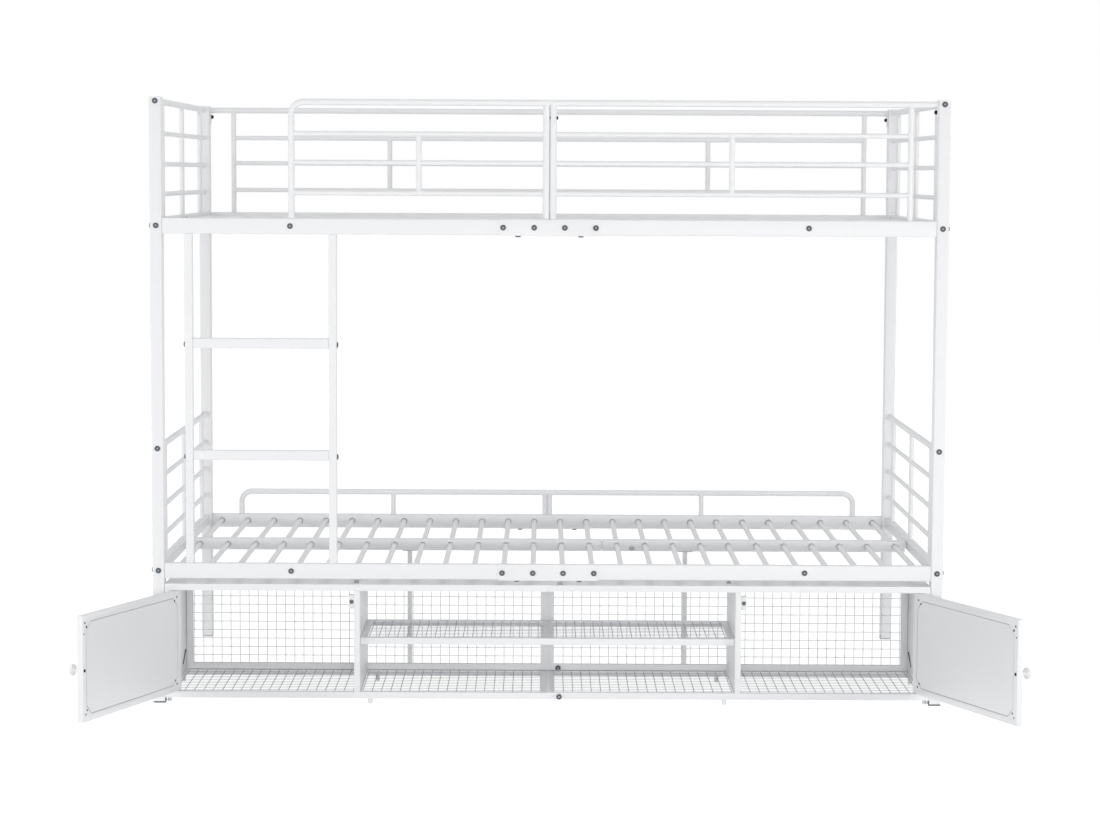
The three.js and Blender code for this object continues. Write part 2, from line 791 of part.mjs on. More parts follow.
// Doors are drawn closed about their pivot axis and then turned open.
// reach runs from the pivot to the free edge; inwards is the door's way from the pivot, -1 or 1.
const doorZ = [baseTop + doorEndGap, topRailBottom - doorEndGap];
const doorWidth = cabinetInner - dividerSpread - dividerThickness - doorHingeGap - doorFreeGap;
const doorReach = doorWidth - pivotInset;
const knobHeight = (doorZ[0] + doorZ[1]) / 2 - knobDrop;

function recessOutline(inwards) {
  const near = -pivotInset + doorBorder;
  const far = doorReach - doorBorder;
  const low = doorZ[0] + doorBorder;
  const high = doorZ[1] - doorBorder;
  const corners = [
    [near + doorCornerCut, low],
    [far - doorCornerCut, low],
    [far, low + doorCornerCut],
    [far, high - doorCornerCut],
    [far - doorCornerCut, high],
    [near + doorCornerCut, high],
    [near, high - doorCornerCut],
    [near, low + doorCornerCut],
  ];
  return new THREE.Shape(corners.map(([x, z]) => new THREE.Vector2(inwards * x, z)));
}

function door(inwards) {
  const x = onSide(inwards, -pivotInset, doorReach);
  const y = centred(0, doorThickness);
  const hollow = block(
    shrunk(x, doorSheet),
    [y[0] + doorSheet, y[1] - doorRecessDepth - doorSheet],
    shrunk(doorZ, doorSheet),
  );
  const recess = plateAlongY(recessOutline(inwards), [y[1] - doorRecessDepth, y[1] + overrun]);
  const pivot = rod('z', pinDiameter + 2 * clearance, grown(doorZ, overrun), [0, 0], pinSides);
  return without(block(x, y, doorZ), [hollow, recess, pivot]);
}

// The knob is turned: a thin neck that widens into a domed head
function knob() {
  const headRadius = knobDiameter / 2;
  const neckRadius = knobNeckDiameter / 2;
  const profile = [
    new THREE.Vector2(0, clearance),
    new THREE.Vector2(neckRadius, clearance),
    new THREE.Vector2(neckRadius, knobProjection / 3),
    new THREE.Vector2(headRadius, (knobProjection * 3) / 5),
    new THREE.Vector2(headRadius, (knobProjection * 4) / 5),
    new THREE.Vector2(headRadius * Math.SQRT1_2, knobProjection * (1 - 1 / 16)),
    new THREE.Vector2(0, knobProjection),
  ];
  const geometry = new THREE.LatheGeometry(profile, knobSides);
  geometry.rotateZ(Math.PI);
  return toSolid(geometry);
}

// A headed pin passes the frame's flange and ends inside the door
function hingePin(headFace, flangeFace, doorFace) {
  const away = Math.sign(headFace - doorFace);
  const tip = doorFace - away * pinReach;
  const head = headFace + away * clearance;
  const profile = [
    new THREE.Vector2(0, tip),
    new THREE.Vector2(pinDiameter / 2, tip),
    new THREE.Vector2(pinDiameter / 2, head),
    new THREE.Vector2(pinHeadDiameter / 2, head),
    new THREE.Vector2(pinHeadDiameter / 2, head + away * pinHeadHeight),
    new THREE.Vector2(0, head + away * pinHeadHeight),
  ];
  const ordered = away > 0 ? profile : profile.reverse();
  const geometry = new THREE.LatheGeometry(ordered, pinSides);
  geometry.rotateX(Math.PI / 2);
  return toSolid(geometry);
}

const doorways = [
  { side: -1, name: 'left', angle: leftDoorAngle },
  { side: 1, name: 'right', angle: rightDoorAngle },
];
for (const { side, name, angle } of doorways) {
  const hinge = new THREE.Group();
  hinge.position.set(side * pivotReach, pivotY, 0);
  hinge.rotation.z = side * toRadians(angle);
  bed.add(hinge);
  addPiece(`door_${name}`, door(-side), whitePowderCoat, hinge);
  const knobPiece = addPiece(`knob_${name}`, knob(), whitePlastic, hinge);
  knobPiece.position.set(-side * (doorReach - knobInset), -doorThickness / 2, knobHeight);

  const pins = [
    { end: 'top', solid: hingePin(topRailBottom + cabinetSheet, topRailBottom, doorZ[1]) },
    { end: 'bottom', solid: hingePin(baseTop - cabinetSheet, baseTop, doorZ[0]) },
  ];
  for (const { end, solid } of pins) {
    const pin = addPiece(`hinge_pin_${name}_${end}`, solid, zincPlate);
    pin.position.set(side * pivotReach, pivotY, 0);
  }
}

// Magnetic catches are screwed to the dividers, just behind the closed doors
function catchBody(side) {
  const near = dividerSpread + dividerThickness + clearance;
  const front = cabinetFront + doorThickness + catchDoorGap;
  const z = centred(baseTop + catchRise, catchHeight);
  const middle = [side * (near + catchWidth / 2), baseTop + catchRise];
  const pocketY = [front - overrun, front + magnetThickness + clearance];
  const pocket = rod('y', magnetDiameter + 2 * clearance, pocketY, middle, pinSides);
  return block(onSide(side, near, near + catchWidth), [front, front + catchDepth], z).subtract(pocket);
}

function magnet(side) {
  const near = dividerSpread + dividerThickness + clearance;
  const front = cabinetFront + doorThickness + catchDoorGap;
  const middle = [side * (near + catchWidth / 2), baseTop + catchRise];
  return rod('y', magnetDiameter, [front, front + magnetThickness], middle, pinSides);
}

for (const { side, name } of ends) {
  addPiece(`catch_${name}`, catchBody(side), whitePlastic);
  addPiece(`magnet_${name}`, magnet(side), darkMagnet);
}

export default bed;
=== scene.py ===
"""Looks of a white metal bunk bed with a low wire cabinet and two hinged doors under its lower bunk.

Lengths are in millimetres until a mesh is made. X runs along the bed, Y from its front to its back and Z up.
"""

import logging
import math
from collections.abc import Sequence
from dataclasses import dataclass, field
from enum import Enum

import bmesh
import bpy
import numpy as np
from mathutils import Matrix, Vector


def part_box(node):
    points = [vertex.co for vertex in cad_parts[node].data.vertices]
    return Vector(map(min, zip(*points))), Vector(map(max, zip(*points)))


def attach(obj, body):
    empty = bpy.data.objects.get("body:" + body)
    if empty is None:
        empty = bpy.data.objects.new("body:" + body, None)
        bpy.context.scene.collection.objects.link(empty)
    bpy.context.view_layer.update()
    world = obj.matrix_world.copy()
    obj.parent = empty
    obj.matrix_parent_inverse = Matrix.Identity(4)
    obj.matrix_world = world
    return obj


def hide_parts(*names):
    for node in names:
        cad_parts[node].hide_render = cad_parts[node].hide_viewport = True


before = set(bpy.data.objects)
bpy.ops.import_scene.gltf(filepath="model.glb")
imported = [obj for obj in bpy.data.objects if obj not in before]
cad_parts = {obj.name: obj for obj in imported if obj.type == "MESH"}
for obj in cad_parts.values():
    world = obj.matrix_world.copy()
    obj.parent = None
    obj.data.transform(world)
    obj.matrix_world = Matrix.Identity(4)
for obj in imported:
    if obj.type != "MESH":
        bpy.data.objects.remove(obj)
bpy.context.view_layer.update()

log = logging.getLogger("bunk_bed")

Array = np.ndarray
Pair = tuple[float, float]
Span = tuple[float, float]
Point = tuple[float, float, float]
Values = Sequence[float] | Array
METRES = 0.001
PER_METRE = 1000.0
AXES = "xyz"
BED = "bed"
ENDS = ((-1, "left"), (1, "right"))
FACES = ("front", "rear")
BUNKS = ("lower", "upper")

# Points round a section: more on the tubes that show large, fewer on rods, screws and wires.
TUBE_SIDES = 28
ROD_SIDES = 24
HOLE_SIDES = 20
SCREW_SIDES = 16
WIRE_SIDES = 8
HEX_SIDES = 6
BEAD_STATIONS = 20
BEAD_SIDES = 6
BEND_STATIONS = 13

# An edge is eased in two steps, first by this share of the easing and then by the whole of it.
EASE_SHARE = 0.3
# The easing takes no more than one part of a block's height in so many.
HEIGHT_PARTS = 3
LEAST_RADIUS = 0.05
BLOCK_STEPS = 3

# Points closer than this become one, in metres: in the meshes drawn here, and in copies of CAD nodes.
MERGE = 2e-6
CAD_MERGE = 5e-6
# Faces of a CAD copy that turn by less than the first angle are joined, and edges that turn by more than the
# second are rounded, both in degrees.
FLAT_ANGLE = 1.0
ROUNDED_ANGLE = 35.0
ROUNDED_SEGMENTS = 2


class Facing(Enum):
    """The way a small part faces, held as the images of its own X, Y and Z directions."""

    FRONT = ((1, 0, 0), (0, 0, 1), (0, -1, 0))
    REAR = ((-1, 0, 0), (0, 0, 1), (0, 1, 0))
    LEFT = ((0, -1, 0), (0, 0, 1), (-1, 0, 0))
    RIGHT = ((0, 1, 0), (0, 0, 1), (1, 0, 0))
    UP = ((1, 0, 0), (0, 1, 0), (0, 0, 1))
    DOWN = ((1, 0, 0), (0, -1, 0), (0, 0, -1))


Place = tuple[Facing, float, float, float]


class Slot(Enum):
    """Material slots of the record."""

    COAT = "white_powder_coat"
    WIRE = "coated_wire"
    ZINC = "zinc_plate"
    GREY = "grey_plastic"
    WHITE = "white_plastic"
    MAGNET = "magnet_face"


@dataclass
class Surface:
    """Vertices in millimetres with the quads and the many-sided caps between them."""

    vertices: Array
    quads: Array
    caps: list[Array] = field(default_factory=list)

    def moved(self, x: float = 0.0, y: float = 0.0, z: float = 0.0) -> "Surface":
        """Returns the surface shifted by x, y and z."""
        return Surface(self.vertices + np.array((x, y, z)), self.quads, self.caps)

    def facing(self, way: Facing) -> "Surface":
        """Returns the surface with its own Z turned to the given way."""
        return Surface(self.vertices @ np.array(way.value, float), self.quads, self.caps)

    def turned(self, degrees: float) -> "Surface":
        """Turns the surface about the upright axis.

        Args:
            degrees: The angle, anticlockwise seen from above.

        Returns:
            The turned surface.
        """
        cosine, sine = math.cos(math.radians(degrees)), math.sin(math.radians(degrees))
        rows = np.array(((cosine, sine, 0.0), (-sine, cosine, 0.0), (0.0, 0.0, 1.0)))
        return Surface(self.vertices @ rows, self.quads, self.caps)

    def mirrored(self, side: int) -> "Surface":
        """Returns the surface with X negated where side is negative; its normals are worked out later."""
        return Surface(self.vertices * np.array((side, 1, 1), float), self.quads, self.caps)


def joined(surfaces: list[Surface]) -> Surface:
    """Puts several surfaces into one.

    Args:
        surfaces: The surfaces, each with its own numbering.

    Returns:
        One surface whose faces are renumbered by the count of the vertices that come before them.
    """
    counts = [len(surface.vertices) for surface in surfaces]
    starts = np.concatenate(([0], np.cumsum(counts)[:-1])).astype(int)
    vertices = np.concatenate([surface.vertices for surface in surfaces])
    quads = np.concatenate([surface.quads + start for surface, start in zip(surfaces, starts)])
    caps = [cap + start for surface, start in zip(surfaces, starts) for cap in surface.caps]
    return Surface(vertices, quads, caps)


def placed(part: Surface, places: list[Place]) -> Surface:
    """Copies a small part to each place, turned the way that the place names."""
    return joined([part.facing(way).moved(x, y, z) for way, x, y, z in places])


def loft(rings: Array, capped: bool = True, looped: bool = False) -> Surface:
    """Skins a grid of rings.

    Each quad joins points j and j + 1 of ring i to the same points of ring i + 1, and the last point of a
    ring joins its first.

    Args:
        rings: Points, with shape (rings, points per ring, 3).
        capped: Whether the first and last ring are closed by a flat cap.
        looped: Whether the last ring joins the first one.

    Returns:
        The skin.
    """
    count, points = rings.shape[:2]
    i, j = np.meshgrid(np.arange(count if looped else count - 1), np.arange(points), indexing="ij")
    after_i, after_j = (i + 1) % count, (j + 1) % points
    corners = (i * points + j, i * points + after_j, after_i * points + after_j, after_i * points + j)
    quads = np.stack(corners, axis=-1).reshape(-1, 4)
    caps = []
    if capped and not looped:
        caps = [np.arange(points)[::-1], np.arange(points) + (count - 1) * points]
    return Surface(rings.reshape(-1, 3), quads, caps)


def circle(diameter: float, sides: int = TUBE_SIDES) -> Array:
    """Points of a circle: radius times cosine and sine of even angles."""
    angles = np.arange(sides) / sides * 2 * np.pi
    return diameter / 2 * np.stack((np.cos(angles), np.sin(angles)), axis=-1)


def rounded_rectangle(width: float, height: float, radius: float, steps: int = 4) -> Array:
    """Outline of a rectangle whose corners are quarter circles.

    Point k of a corner is the corner's centre plus the radius times the cosine and sine of an angle that runs
    through a quarter turn.

    Args:
        width: Full width.
        height: Full height.
        radius: Corner radius.
        steps: Steps in each corner.

    Returns:
        Points with shape (4 * (steps + 1), 2), anticlockwise.
    """
    quarter = np.linspace(0, np.pi / 2, steps + 1)
    start = np.arange(4)[:, None] * np.pi / 2
    angles = start + quarter[None, :]
    middle = start + np.pi / 4
    centre_x = np.sign(np.cos(middle)) * (width / 2 - radius)
    centre_y = np.sign(np.sin(middle)) * (height / 2 - radius)
    x = centre_x + radius * np.cos(angles)
    y = centre_y + radius * np.sin(angles)
    return np.stack((x.ravel(), y.ravel()), axis=-1)


def swept(profile: Array, path: Array, across: Point, looped: bool = False) -> Surface:
    """Carries a profile along a path that lies in one plane.

    A point (p, q) of the profile becomes path point + p * across + q * (direction x across), where direction
    is the path's own direction at that point.

    Args:
        profile: Points of the section, (points, 2).
        path: Points of the path, (stations, 3).
        across: The unit normal of the path's plane.
        looped: Whether the path closes on itself.

    Returns:
        The skin, capped at both ends unless it is looped.
    """
    if looped:
        steps = np.roll(path, -1, axis=0) - np.roll(path, 1, axis=0)
    else:
        steps = np.gradient(path, axis=0)
    direction = steps / np.linalg.norm(steps, axis=1, keepdims=True)
    side = np.array(across, float)
    up = np.cross(direction, side)
    rings = path[:, None, :] + profile[None, :, :1] * side + profile[None, :, 1:] * up[:, None, :]
    return loft(rings, looped=looped)


def bar(axis: str, profile: Array, span: Values, middle: Values) -> Surface:
    """A bar along one axis.

    Args:
        axis: "x", "y" or "z".
        profile: Section, with its own X along the bed's X, or along its Y for a bar along X.
        span: Where the bar starts and ends.
        middle: Its other two coordinates, in the order x, y, z.

    Returns:
        The bar with flat ends.
    """
    ends = [np.insert(np.array(middle, float), AXES.index(axis), at) for at in span]
    return swept(profile, np.array(ends), (0.0, 1.0, 0.0) if axis == "x" else (1.0, 0.0, 0.0))


def box_bar(axis: str, box: Array, radius: float) -> Surface:
    """A rectangular tube that fills a box.

    Args:
        axis: The axis that it runs along.
        box: Its lowest and highest corner.
        radius: Radius of its long edges.

    Returns:
        The tube, closed at both ends.
    """
    along = AXES.index(axis)
    wide, high = np.delete(box[1] - box[0], along)
    middle = np.delete((box[0] + box[1]) / 2, along)
    return bar(axis, rounded_rectangle(wide, high, radius), box[:, along], middle)


def stacked(outlines: list[Array], levels: Values, capped: bool = True) -> Surface:
    """Skins level outlines that stand over one another.

    Args:
        outlines: The outlines in X and Y, all with the same number of points.
        levels: The height of each outline.
        capped: Whether the first and the last outline are closed by a flat cap.

    Returns:
        The skin.
    """
    flat = np.stack(outlines)
    rise = np.broadcast_to(np.array(levels)[:, None, None], flat.shape[:2] + (1,))
    return loft(np.concatenate((flat, rise), axis=-1), capped)


def revolved(radii: Values, heights: Values, sides: int) -> Surface:
    """Turns a profile about the upright axis: ring i is a circle of radius i at height i."""
    return stacked([circle(2 * radius, sides) for radius in radii], heights, capped=False)


def block(x: Span, y: Span, z: Span, radius: float) -> Surface:
    """A block with rounded upright corners and eased top and bottom edges.

    Each outline is a rounded rectangle; the end ones shrink by the easing so that the edges aren't sharp.

    Args:
        x: Where it lies along the bed.
        y: Where it lies from front to back.
        z: Its foot and its top.
        radius: Radius of the upright corners, and the most by which the ends are eased.

    Returns:
        The block.
    """
    ease = min(radius, (z[1] - z[0]) / HEIGHT_PARTS)
    part = ease * EASE_SHARE
    insets = (ease, part, 0.0, 0.0, part, ease)
    levels = (z[0], z[0] + part, z[0] + ease, z[1] - ease, z[1] - part, z[1])
    wide, deep = x[1] - x[0], y[1] - y[0]
    middle = np.array(((x[0] + x[1]) / 2, (y[0] + y[1]) / 2))
    outlines = []
    for inset in insets:
        corner = max(radius - inset, LEAST_RADIUS)
        outlines.append(rounded_rectangle(wide - 2 * inset, deep - 2 * inset, corner, BLOCK_STEPS) + middle)
    return stacked(outlines, levels)


def bead(axis: str, radius: float, centre: Point, size: float = 1.2) -> Surface:
    """A weld bead: a thin ring about an axis, round a tube where it meets its neighbour.

    Args:
        axis: The tube's axis.
        radius: The tube's radius.
        centre: The middle of the ring.
        size: Radius of the bead's own section.

    Returns:
        The ring.
    """
    place = AXES.index(axis)
    path = np.insert(circle(2 * radius, BEAD_STATIONS), place, 0.0, axis=1) + np.array(centre)
    return swept(circle(size * 2, BEAD_SIDES), path, np.eye(3)[place], looped=True)


def node_box(name: str) -> Array:
    """Lowest and highest corner of a CAD node in millimetres, with shape (2, 3)."""
    return np.array([tuple(corner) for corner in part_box(name)]) / METRES


def linear(code: str) -> tuple[float, float, float, float]:
    """Turns an sRGB hex value into linear colour, by the two pieces of the sRGB curve.

    Args:
        code: The colour, such as "#f3f4f6".

    Returns:
        Its linear red, green and blue, and an alpha of one.
    """
    parts = [int(code[place:place + 2], 16) / 255 for place in (1, 3, 5)]
    values = [part / 12.92 if part <= 0.04045 else ((part + 0.055) / 1.055) ** 2.4 for part in parts]
    return (values[0], values[1], values[2], 1.0)


def feed(tree: bpy.types.NodeTree, node: bpy.types.Node, inputs: dict[str | int, object]) -> None:
    """Sets a node's inputs.

    Args:
        tree: The node tree.
        node: The node.
        inputs: Values of its input sockets, or the output sockets that feed them, by name or place.
    """
    for name, value in inputs.items():
        if isinstance(value, bpy.types.NodeSocket):
            tree.links.new(value, node.inputs[name])
        else:
            node.inputs[name].default_value = value


def add_node(tree: bpy.types.NodeTree, kind: str, settings: dict[str, object] | None = None,
             inputs: dict[str | int, object] | None = None) -> bpy.types.Node:
    """Adds a node with its settings and its inputs.

    Args:
        tree: The node tree.
        kind: The node's type.
        settings: Attributes of the node by name.
        inputs: Values of its input sockets, or the output sockets that feed them, by name or place.

    Returns:
        The new node.
    """
    node = tree.nodes.new(kind)
    for name, value in (settings or {}).items():
        setattr(node, name, value)
    feed(tree, node, inputs or {})
    return node


def emptied_tree(owner: bpy.types.Material | bpy.types.World) -> bpy.types.NodeTree:
    """Turns on the nodes of a material or a world.

    Args:
        owner: The material or the world.

    Returns:
        Its node tree, with nothing in it.
    """
    owner.use_nodes = True
    owner.node_tree.nodes.clear()
    return owner.node_tree


def noise(tree: bpy.types.NodeTree, patch: float, detail: float, roughness: float) -> bpy.types.NodeSocket:
    """Adds noise that is fixed to the object.

    Args:
        tree: The node tree.
        patch: Rough size of its patches in millimetres.
        detail: How many finer layers lie on the patches.
        roughness: How strong the finer layers are.

    Returns:
        The noise's value, about 0.3 to 0.7.
    """
    place = add_node(tree, "ShaderNodeTexCoord").outputs["Object"]
    node = add_node(tree, "ShaderNodeTexNoise", {"noise_dimensions": "3D"}, {
        "Vector": place, "Scale": PER_METRE / patch, "Detail": detail, "Roughness": roughness,
    })
    return node.outputs["Fac"]


def drifting_skin(tree: bpy.types.NodeTree, shader: bpy.types.Node, tones: tuple[str, str],
                  drift: bpy.types.NodeSocket, skin: bpy.types.NodeSocket, depth: float) -> None:
    """Gives a shader a colour that drifts between two tones and a fine bump.

    A Mix node has its two colours at inputs 6 and 7 and its result at output 2.

    Args:
        tree: The node tree.
        shader: The Principled shader.
        tones: The two hex colours.
        drift: Noise that mixes them.
        skin: Noise that makes the bump.
        depth: Height of the bump in millimetres.
    """
    colour = add_node(tree, "ShaderNodeMix", {"data_type": "RGBA"}, {
        "Factor": drift, 6: linear(tones[0]), 7: linear(tones[1]),
    })
    bump = add_node(tree, "ShaderNodeBump", {}, {"Height": skin, "Distance": depth * METRES, "Strength": 1.0})
    feed(tree, shader, {"Base Color": colour.outputs[2], "Normal": bump.outputs[0]})


@dataclass(frozen=True)
class Finish:
    """What every finish has: a name, a slot, two tones to drift between, and a grain.

    Patches of the drift and the grain are given by their rough size, and the grain by its height too.
    """

    name: str
    slot: Slot
    tone: str
    shade: str
    roughness: float
    patch: float
    grain: float
    grain_depth: float

    def material(self) -> bpy.types.Material:
        """Builds the material on the first call and finds it on later ones.

        Returns:
            The material.
        """
        if self.name in bpy.data.materials:
            return bpy.data.materials[self.name]
        material = bpy.data.materials.new(self.name)
        tree = emptied_tree(material)
        shader = add_node(tree, "ShaderNodeBsdfPrincipled")
        add_node(tree, "ShaderNodeOutputMaterial", inputs={"Surface": shader.outputs[0]})
        self.shade_with(tree, shader)
        return material

    def shade_with(self, tree: bpy.types.NodeTree, shader: bpy.types.Node) -> None:
        """Sets the shader; each kind of finish does it in its own way."""
        raise NotImplementedError


@dataclass(frozen=True)
class CoatedFinish(Finish):
    """A sprayed or moulded finish, whose roughness drifts with its colour over its patches.

    The fine bump gives the skin of powder coat or moulded plastic.
    """

    roughness_drift: float
    ior: float = 1.5
    coat: float = 0.0
    drift_noise: Pair = (3.0, 0.55)
    skin_noise: Pair = (2.0, 0.5)
    drift_reach: Span = (0.3, 0.7)

    def shade_with(self, tree: bpy.types.NodeTree, shader: bpy.types.Node) -> None:
        """Sets a shader that isn't metal, with drifting colour and roughness.

        Args:
            tree: The node tree.
            shader: The Principled shader.
        """
        drift = noise(tree, self.patch, *self.drift_noise)
        rough = add_node(tree, "ShaderNodeMapRange", {}, {
            "Value": drift, "From Min": self.drift_reach[0], "From Max": self.drift_reach[1],
            "To Min": self.roughness - self.roughness_drift, "To Max": self.roughness + self.roughness_drift,
        })
        skin = noise(tree, self.grain, *self.skin_noise)
        drifting_skin(tree, shader, (self.tone, self.shade), drift, skin, self.grain_depth)
        feed(tree, shader, {"Roughness": rough.outputs[0], "IOR": self.ior, "Coat Weight": self.coat})


@dataclass(frozen=True)
class PlatedFinish(Finish):
    """Electroplated or blackened steel: metal that drifts between two tones, with fine turning marks."""

    drift_noise: Pair = (4.0, 0.6)
    skin_noise: Pair = (3.0, 0.5)

    def shade_with(self, tree: bpy.types.NodeTree, shader: bpy.types.Node) -> None:
        """Sets a metal shader with drifting colour.

        Args:
            tree: The node tree.
            shader: The Principled shader.
        """
        drift = noise(tree, self.patch, *self.drift_noise)
        skin = noise(tree, self.grain, *self.skin_noise)
        drifting_skin(tree, shader, (self.tone, self.shade), drift, skin, self.grain_depth)
        feed(tree, shader, {"Metallic": 1.0, "Roughness": self.roughness})


# Epoxy-polyester powder coat, sprayed and baked: satin white with a faint orange peel about 2 mm across.
POWDER_COAT = CoatedFinish(
    "white_powder_coat", Slot.COAT, "#f3f4f6", "#eeeff2", 0.42, 90.0, 2.2, 0.035, 0.05)
# The same coat on thin welded wire, where it pools a little: slightly greyer.
WIRE_COAT = CoatedFinish(
    "white_coated_wire", Slot.WIRE, "#f4f5f6", "#eef0f2", 0.4, 40.0, 1.6, 0.03, 0.05)
# The same coat, made grey, on the nets of the bases and the shelf and on the window edges: painted shade, for
# level nets seen from above over the white floor and for the shadowed edges of the back windows.
SHADED_WIRE_COAT = CoatedFinish(
    "shade_painted_coated_wire", Slot.WIRE, "#b9bcc0", "#abaeb2", 0.45, 40.0, 1.6, 0.03, 0.05)
# Injection-moulded polypropylene, dark grey with a fine spark-eroded skin, on the front plugs and the strips
# beside them: partly the plastic's own grey, partly painted shade for the dark line under and beside the
# posts' feet.
SHADED_GREY_PLASTIC = CoatedFinish(
    "shade_painted_grey_polypropylene", Slot.GREY, "#63666b", "#55585c", 0.55, 15.0, 0.8, 0.02, 0.06)
# The same plastic in a pale grey on the rear plugs: painted light, a lit copy that shows no dark rim.
LIT_GREY_PLASTIC = CoatedFinish(
    "light_painted_grey_polypropylene", Slot.GREY, "#cfd1d4", "#c3c6c9", 0.55, 15.0, 0.8, 0.02, 0.06)
# A light grey, dull plate in the groove between a door's frame and its back plate: painted shade of the
# groove. light grey and dull.
GROOVE_SHADE = CoatedFinish(
    "groove_shade_grey", Slot.GREY, "#b4b6b9", "#aaacb0", 0.85, 12.0, 0.7, 0.03, 0.05)
# Injection-moulded ABS: white, glossier than the coat, and smooth.
WHITE_PLASTIC = CoatedFinish(
    "white_abs", Slot.WHITE, "#f6f6f5", "#f0f0ef", 0.28, 25.0, 1.2, 0.01, 0.04, 1.53, 0.2)
# Zinc on cold-formed socket screws, darkened: painted dark reflection, so that the rim of a bolt's head reads
# as a dark ring, and painted shade on the door's small screws, which show as dark dots.
SHADED_ZINC = PlatedFinish("shade_painted_zinc_plated_steel", Slot.ZINC, "#777a7f", "#54575c", 0.38, 6.0, 0.9, 0.02)
# Bright zinc on nuts, pins, the mid rails' bolts and the floor of the screws' sockets.
BRIGHT_ZINC = PlatedFinish("bright_zinc_plated_steel", Slot.ZINC, "#c3c6ca", "#a3a7ad", 0.32, 8.0, 0.9, 0.02)
# Nickel-plated magnet face, duller than the zinc.
MAGNET = PlatedFinish("nickel_plated_magnet", Slot.MAGNET, "#808388", "#6d7075", 0.5, 5.0, 0.8, 0.02)
# Black-oxide steel: nearly black, with a dull sheen. On the doors' hole plugs and knob screw and on the side
# panels' strips it is painted shade.
BLACK_STEEL_AND_SHADE = PlatedFinish("black_oxide_steel_and_painted_shade", Slot.ZINC, "#3c3e42", "#2b2d30", 0.5, 4.0, 0.8, 0.02)


def add_object(name: str, data: bpy.types.ID) -> bpy.types.Object:
    """Adds an object to the scene.

    Args:
        name: Its name.
        data: Its mesh, camera or lamp.

    Returns:
        The object.
    """
    thing = bpy.data.objects.new(name, data)
    bpy.context.scene.collection.objects.link(thing)
    return thing


def to_mesh(name: str, surface: Surface, scale: float, merge: float) -> bpy.types.Mesh:
    """Makes a mesh whose faces point outwards.

    Args:
        name: The mesh's name.
        surface: Its surface.
        scale: What its coordinates are multiplied by.
        merge: Points closer than this become one; nought keeps them all.

    Returns:
        The mesh.
    """
    mesh = bpy.data.meshes.new(name)
    faces = surface.quads.tolist() + [cap.tolist() for cap in surface.caps]
    mesh.from_pydata((surface.vertices * scale).tolist(), [], faces)
    shape = bmesh.new()
    shape.from_mesh(mesh)
    if merge:
        bmesh.ops.remove_doubles(shape, verts=shape.verts, dist=merge)
    bmesh.ops.recalc_face_normals(shape, faces=shape.faces)
    shape.to_mesh(mesh)
    shape.free()
    return mesh


def finish_piece(name: str, mesh: bpy.types.Mesh, finish: Finish, body: str,
                 stands_for: tuple[str, ...]) -> bpy.types.Object:
    """Puts a mesh into the scene as one piece.

    Args:
        name: The piece's name.
        mesh: Its mesh, in metres.
        finish: What it is made of; the slot that it names is not given to the piece.
        body: The body that it rides on.
        stands_for: CAD nodes that it replaces.

    Returns:
        The piece.
    """
    mesh.materials.append(finish.material())
    piece = add_object(name, mesh)
    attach(piece, body)
    if stands_for:
        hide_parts(*stands_for)
    log.info("%s: %d faces", name, len(mesh.polygons))
    return piece


def add_piece(name: str, surface: Surface, finish: Finish, body: str = BED, stands_for: tuple[str, ...] = (),
              sharp: float = 34.0) -> None:
    """Makes one finished piece from a surface, with its doubles merged and its faces pointing outwards.

    Args:
        name: The piece's name.
        surface: Its surface, in millimetres.
        finish: What it is made of.
        body: The body that it rides on.
        stands_for: CAD nodes that it replaces.
        sharp: Edges that turn by more than this many degrees stay sharp.
    """
    mesh = to_mesh(name, surface, METRES, MERGE)
    mesh.shade_smooth()
    mesh.set_sharp_from_angle(angle=math.radians(sharp))
    finish_piece(name, mesh, finish, body, stands_for)


def add_coated(work: str, node: str, surface: Surface) -> None:
    """Makes a powder-coated piece that replaces one CAD node and is named after its making and the node."""
    add_piece(f"{work}_{node}", surface, POWDER_COAT, stands_for=(node,))


def add_rounded(node: str, name: str, body: str = BED, fold: float = 0.55, finish: Finish = POWDER_COAT,
                box: Array | None = None) -> None:
    """Dresses a folded or moulded piece: a merged copy of its CAD node whose edges are rounded.

    Args:
        node: The CAD node.
        name: The new piece's name.
        body: The body that it rides on.
        fold: Radius of the rounded edges.
        finish: What it is made of.
        box: Lowest and highest corner that the copy is fitted to, in millimetres, or its own box.
    """
    own = node_box(node)
    fitted = own if box is None else box
    scale = (fitted[1] - fitted[0]) / (own[1] - own[0])
    shape = bmesh.new()
    shape.from_mesh(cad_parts[node].data)
    bmesh.ops.remove_doubles(shape, verts=shape.verts, dist=CAD_MERGE)
    flat = math.radians(FLAT_ANGLE)
    bmesh.ops.dissolve_limit(shape, angle_limit=flat, verts=shape.verts, edges=shape.edges)
    bmesh.ops.recalc_face_normals(shape, faces=shape.faces)
    bmesh.ops.translate(shape, vec=(-own[0] * METRES).tolist(), verts=shape.verts)
    bmesh.ops.scale(shape, vec=scale.tolist(), verts=shape.verts)
    bmesh.ops.translate(shape, vec=(fitted[0] * METRES).tolist(), verts=shape.verts)
    mesh = bpy.data.meshes.new(name)
    shape.to_mesh(mesh)
    shape.free()
    mesh.shade_smooth()
    rounding = finish_piece(name, mesh, finish, body, (node,)).modifiers.new("rounding", "BEVEL")
    rounding.width = fold * METRES
    rounding.segments = ROUNDED_SEGMENTS
    rounding.limit_method = "ANGLE"
    rounding.angle_limit = math.radians(ROUNDED_ANGLE)
    rounding.harden_normals = True


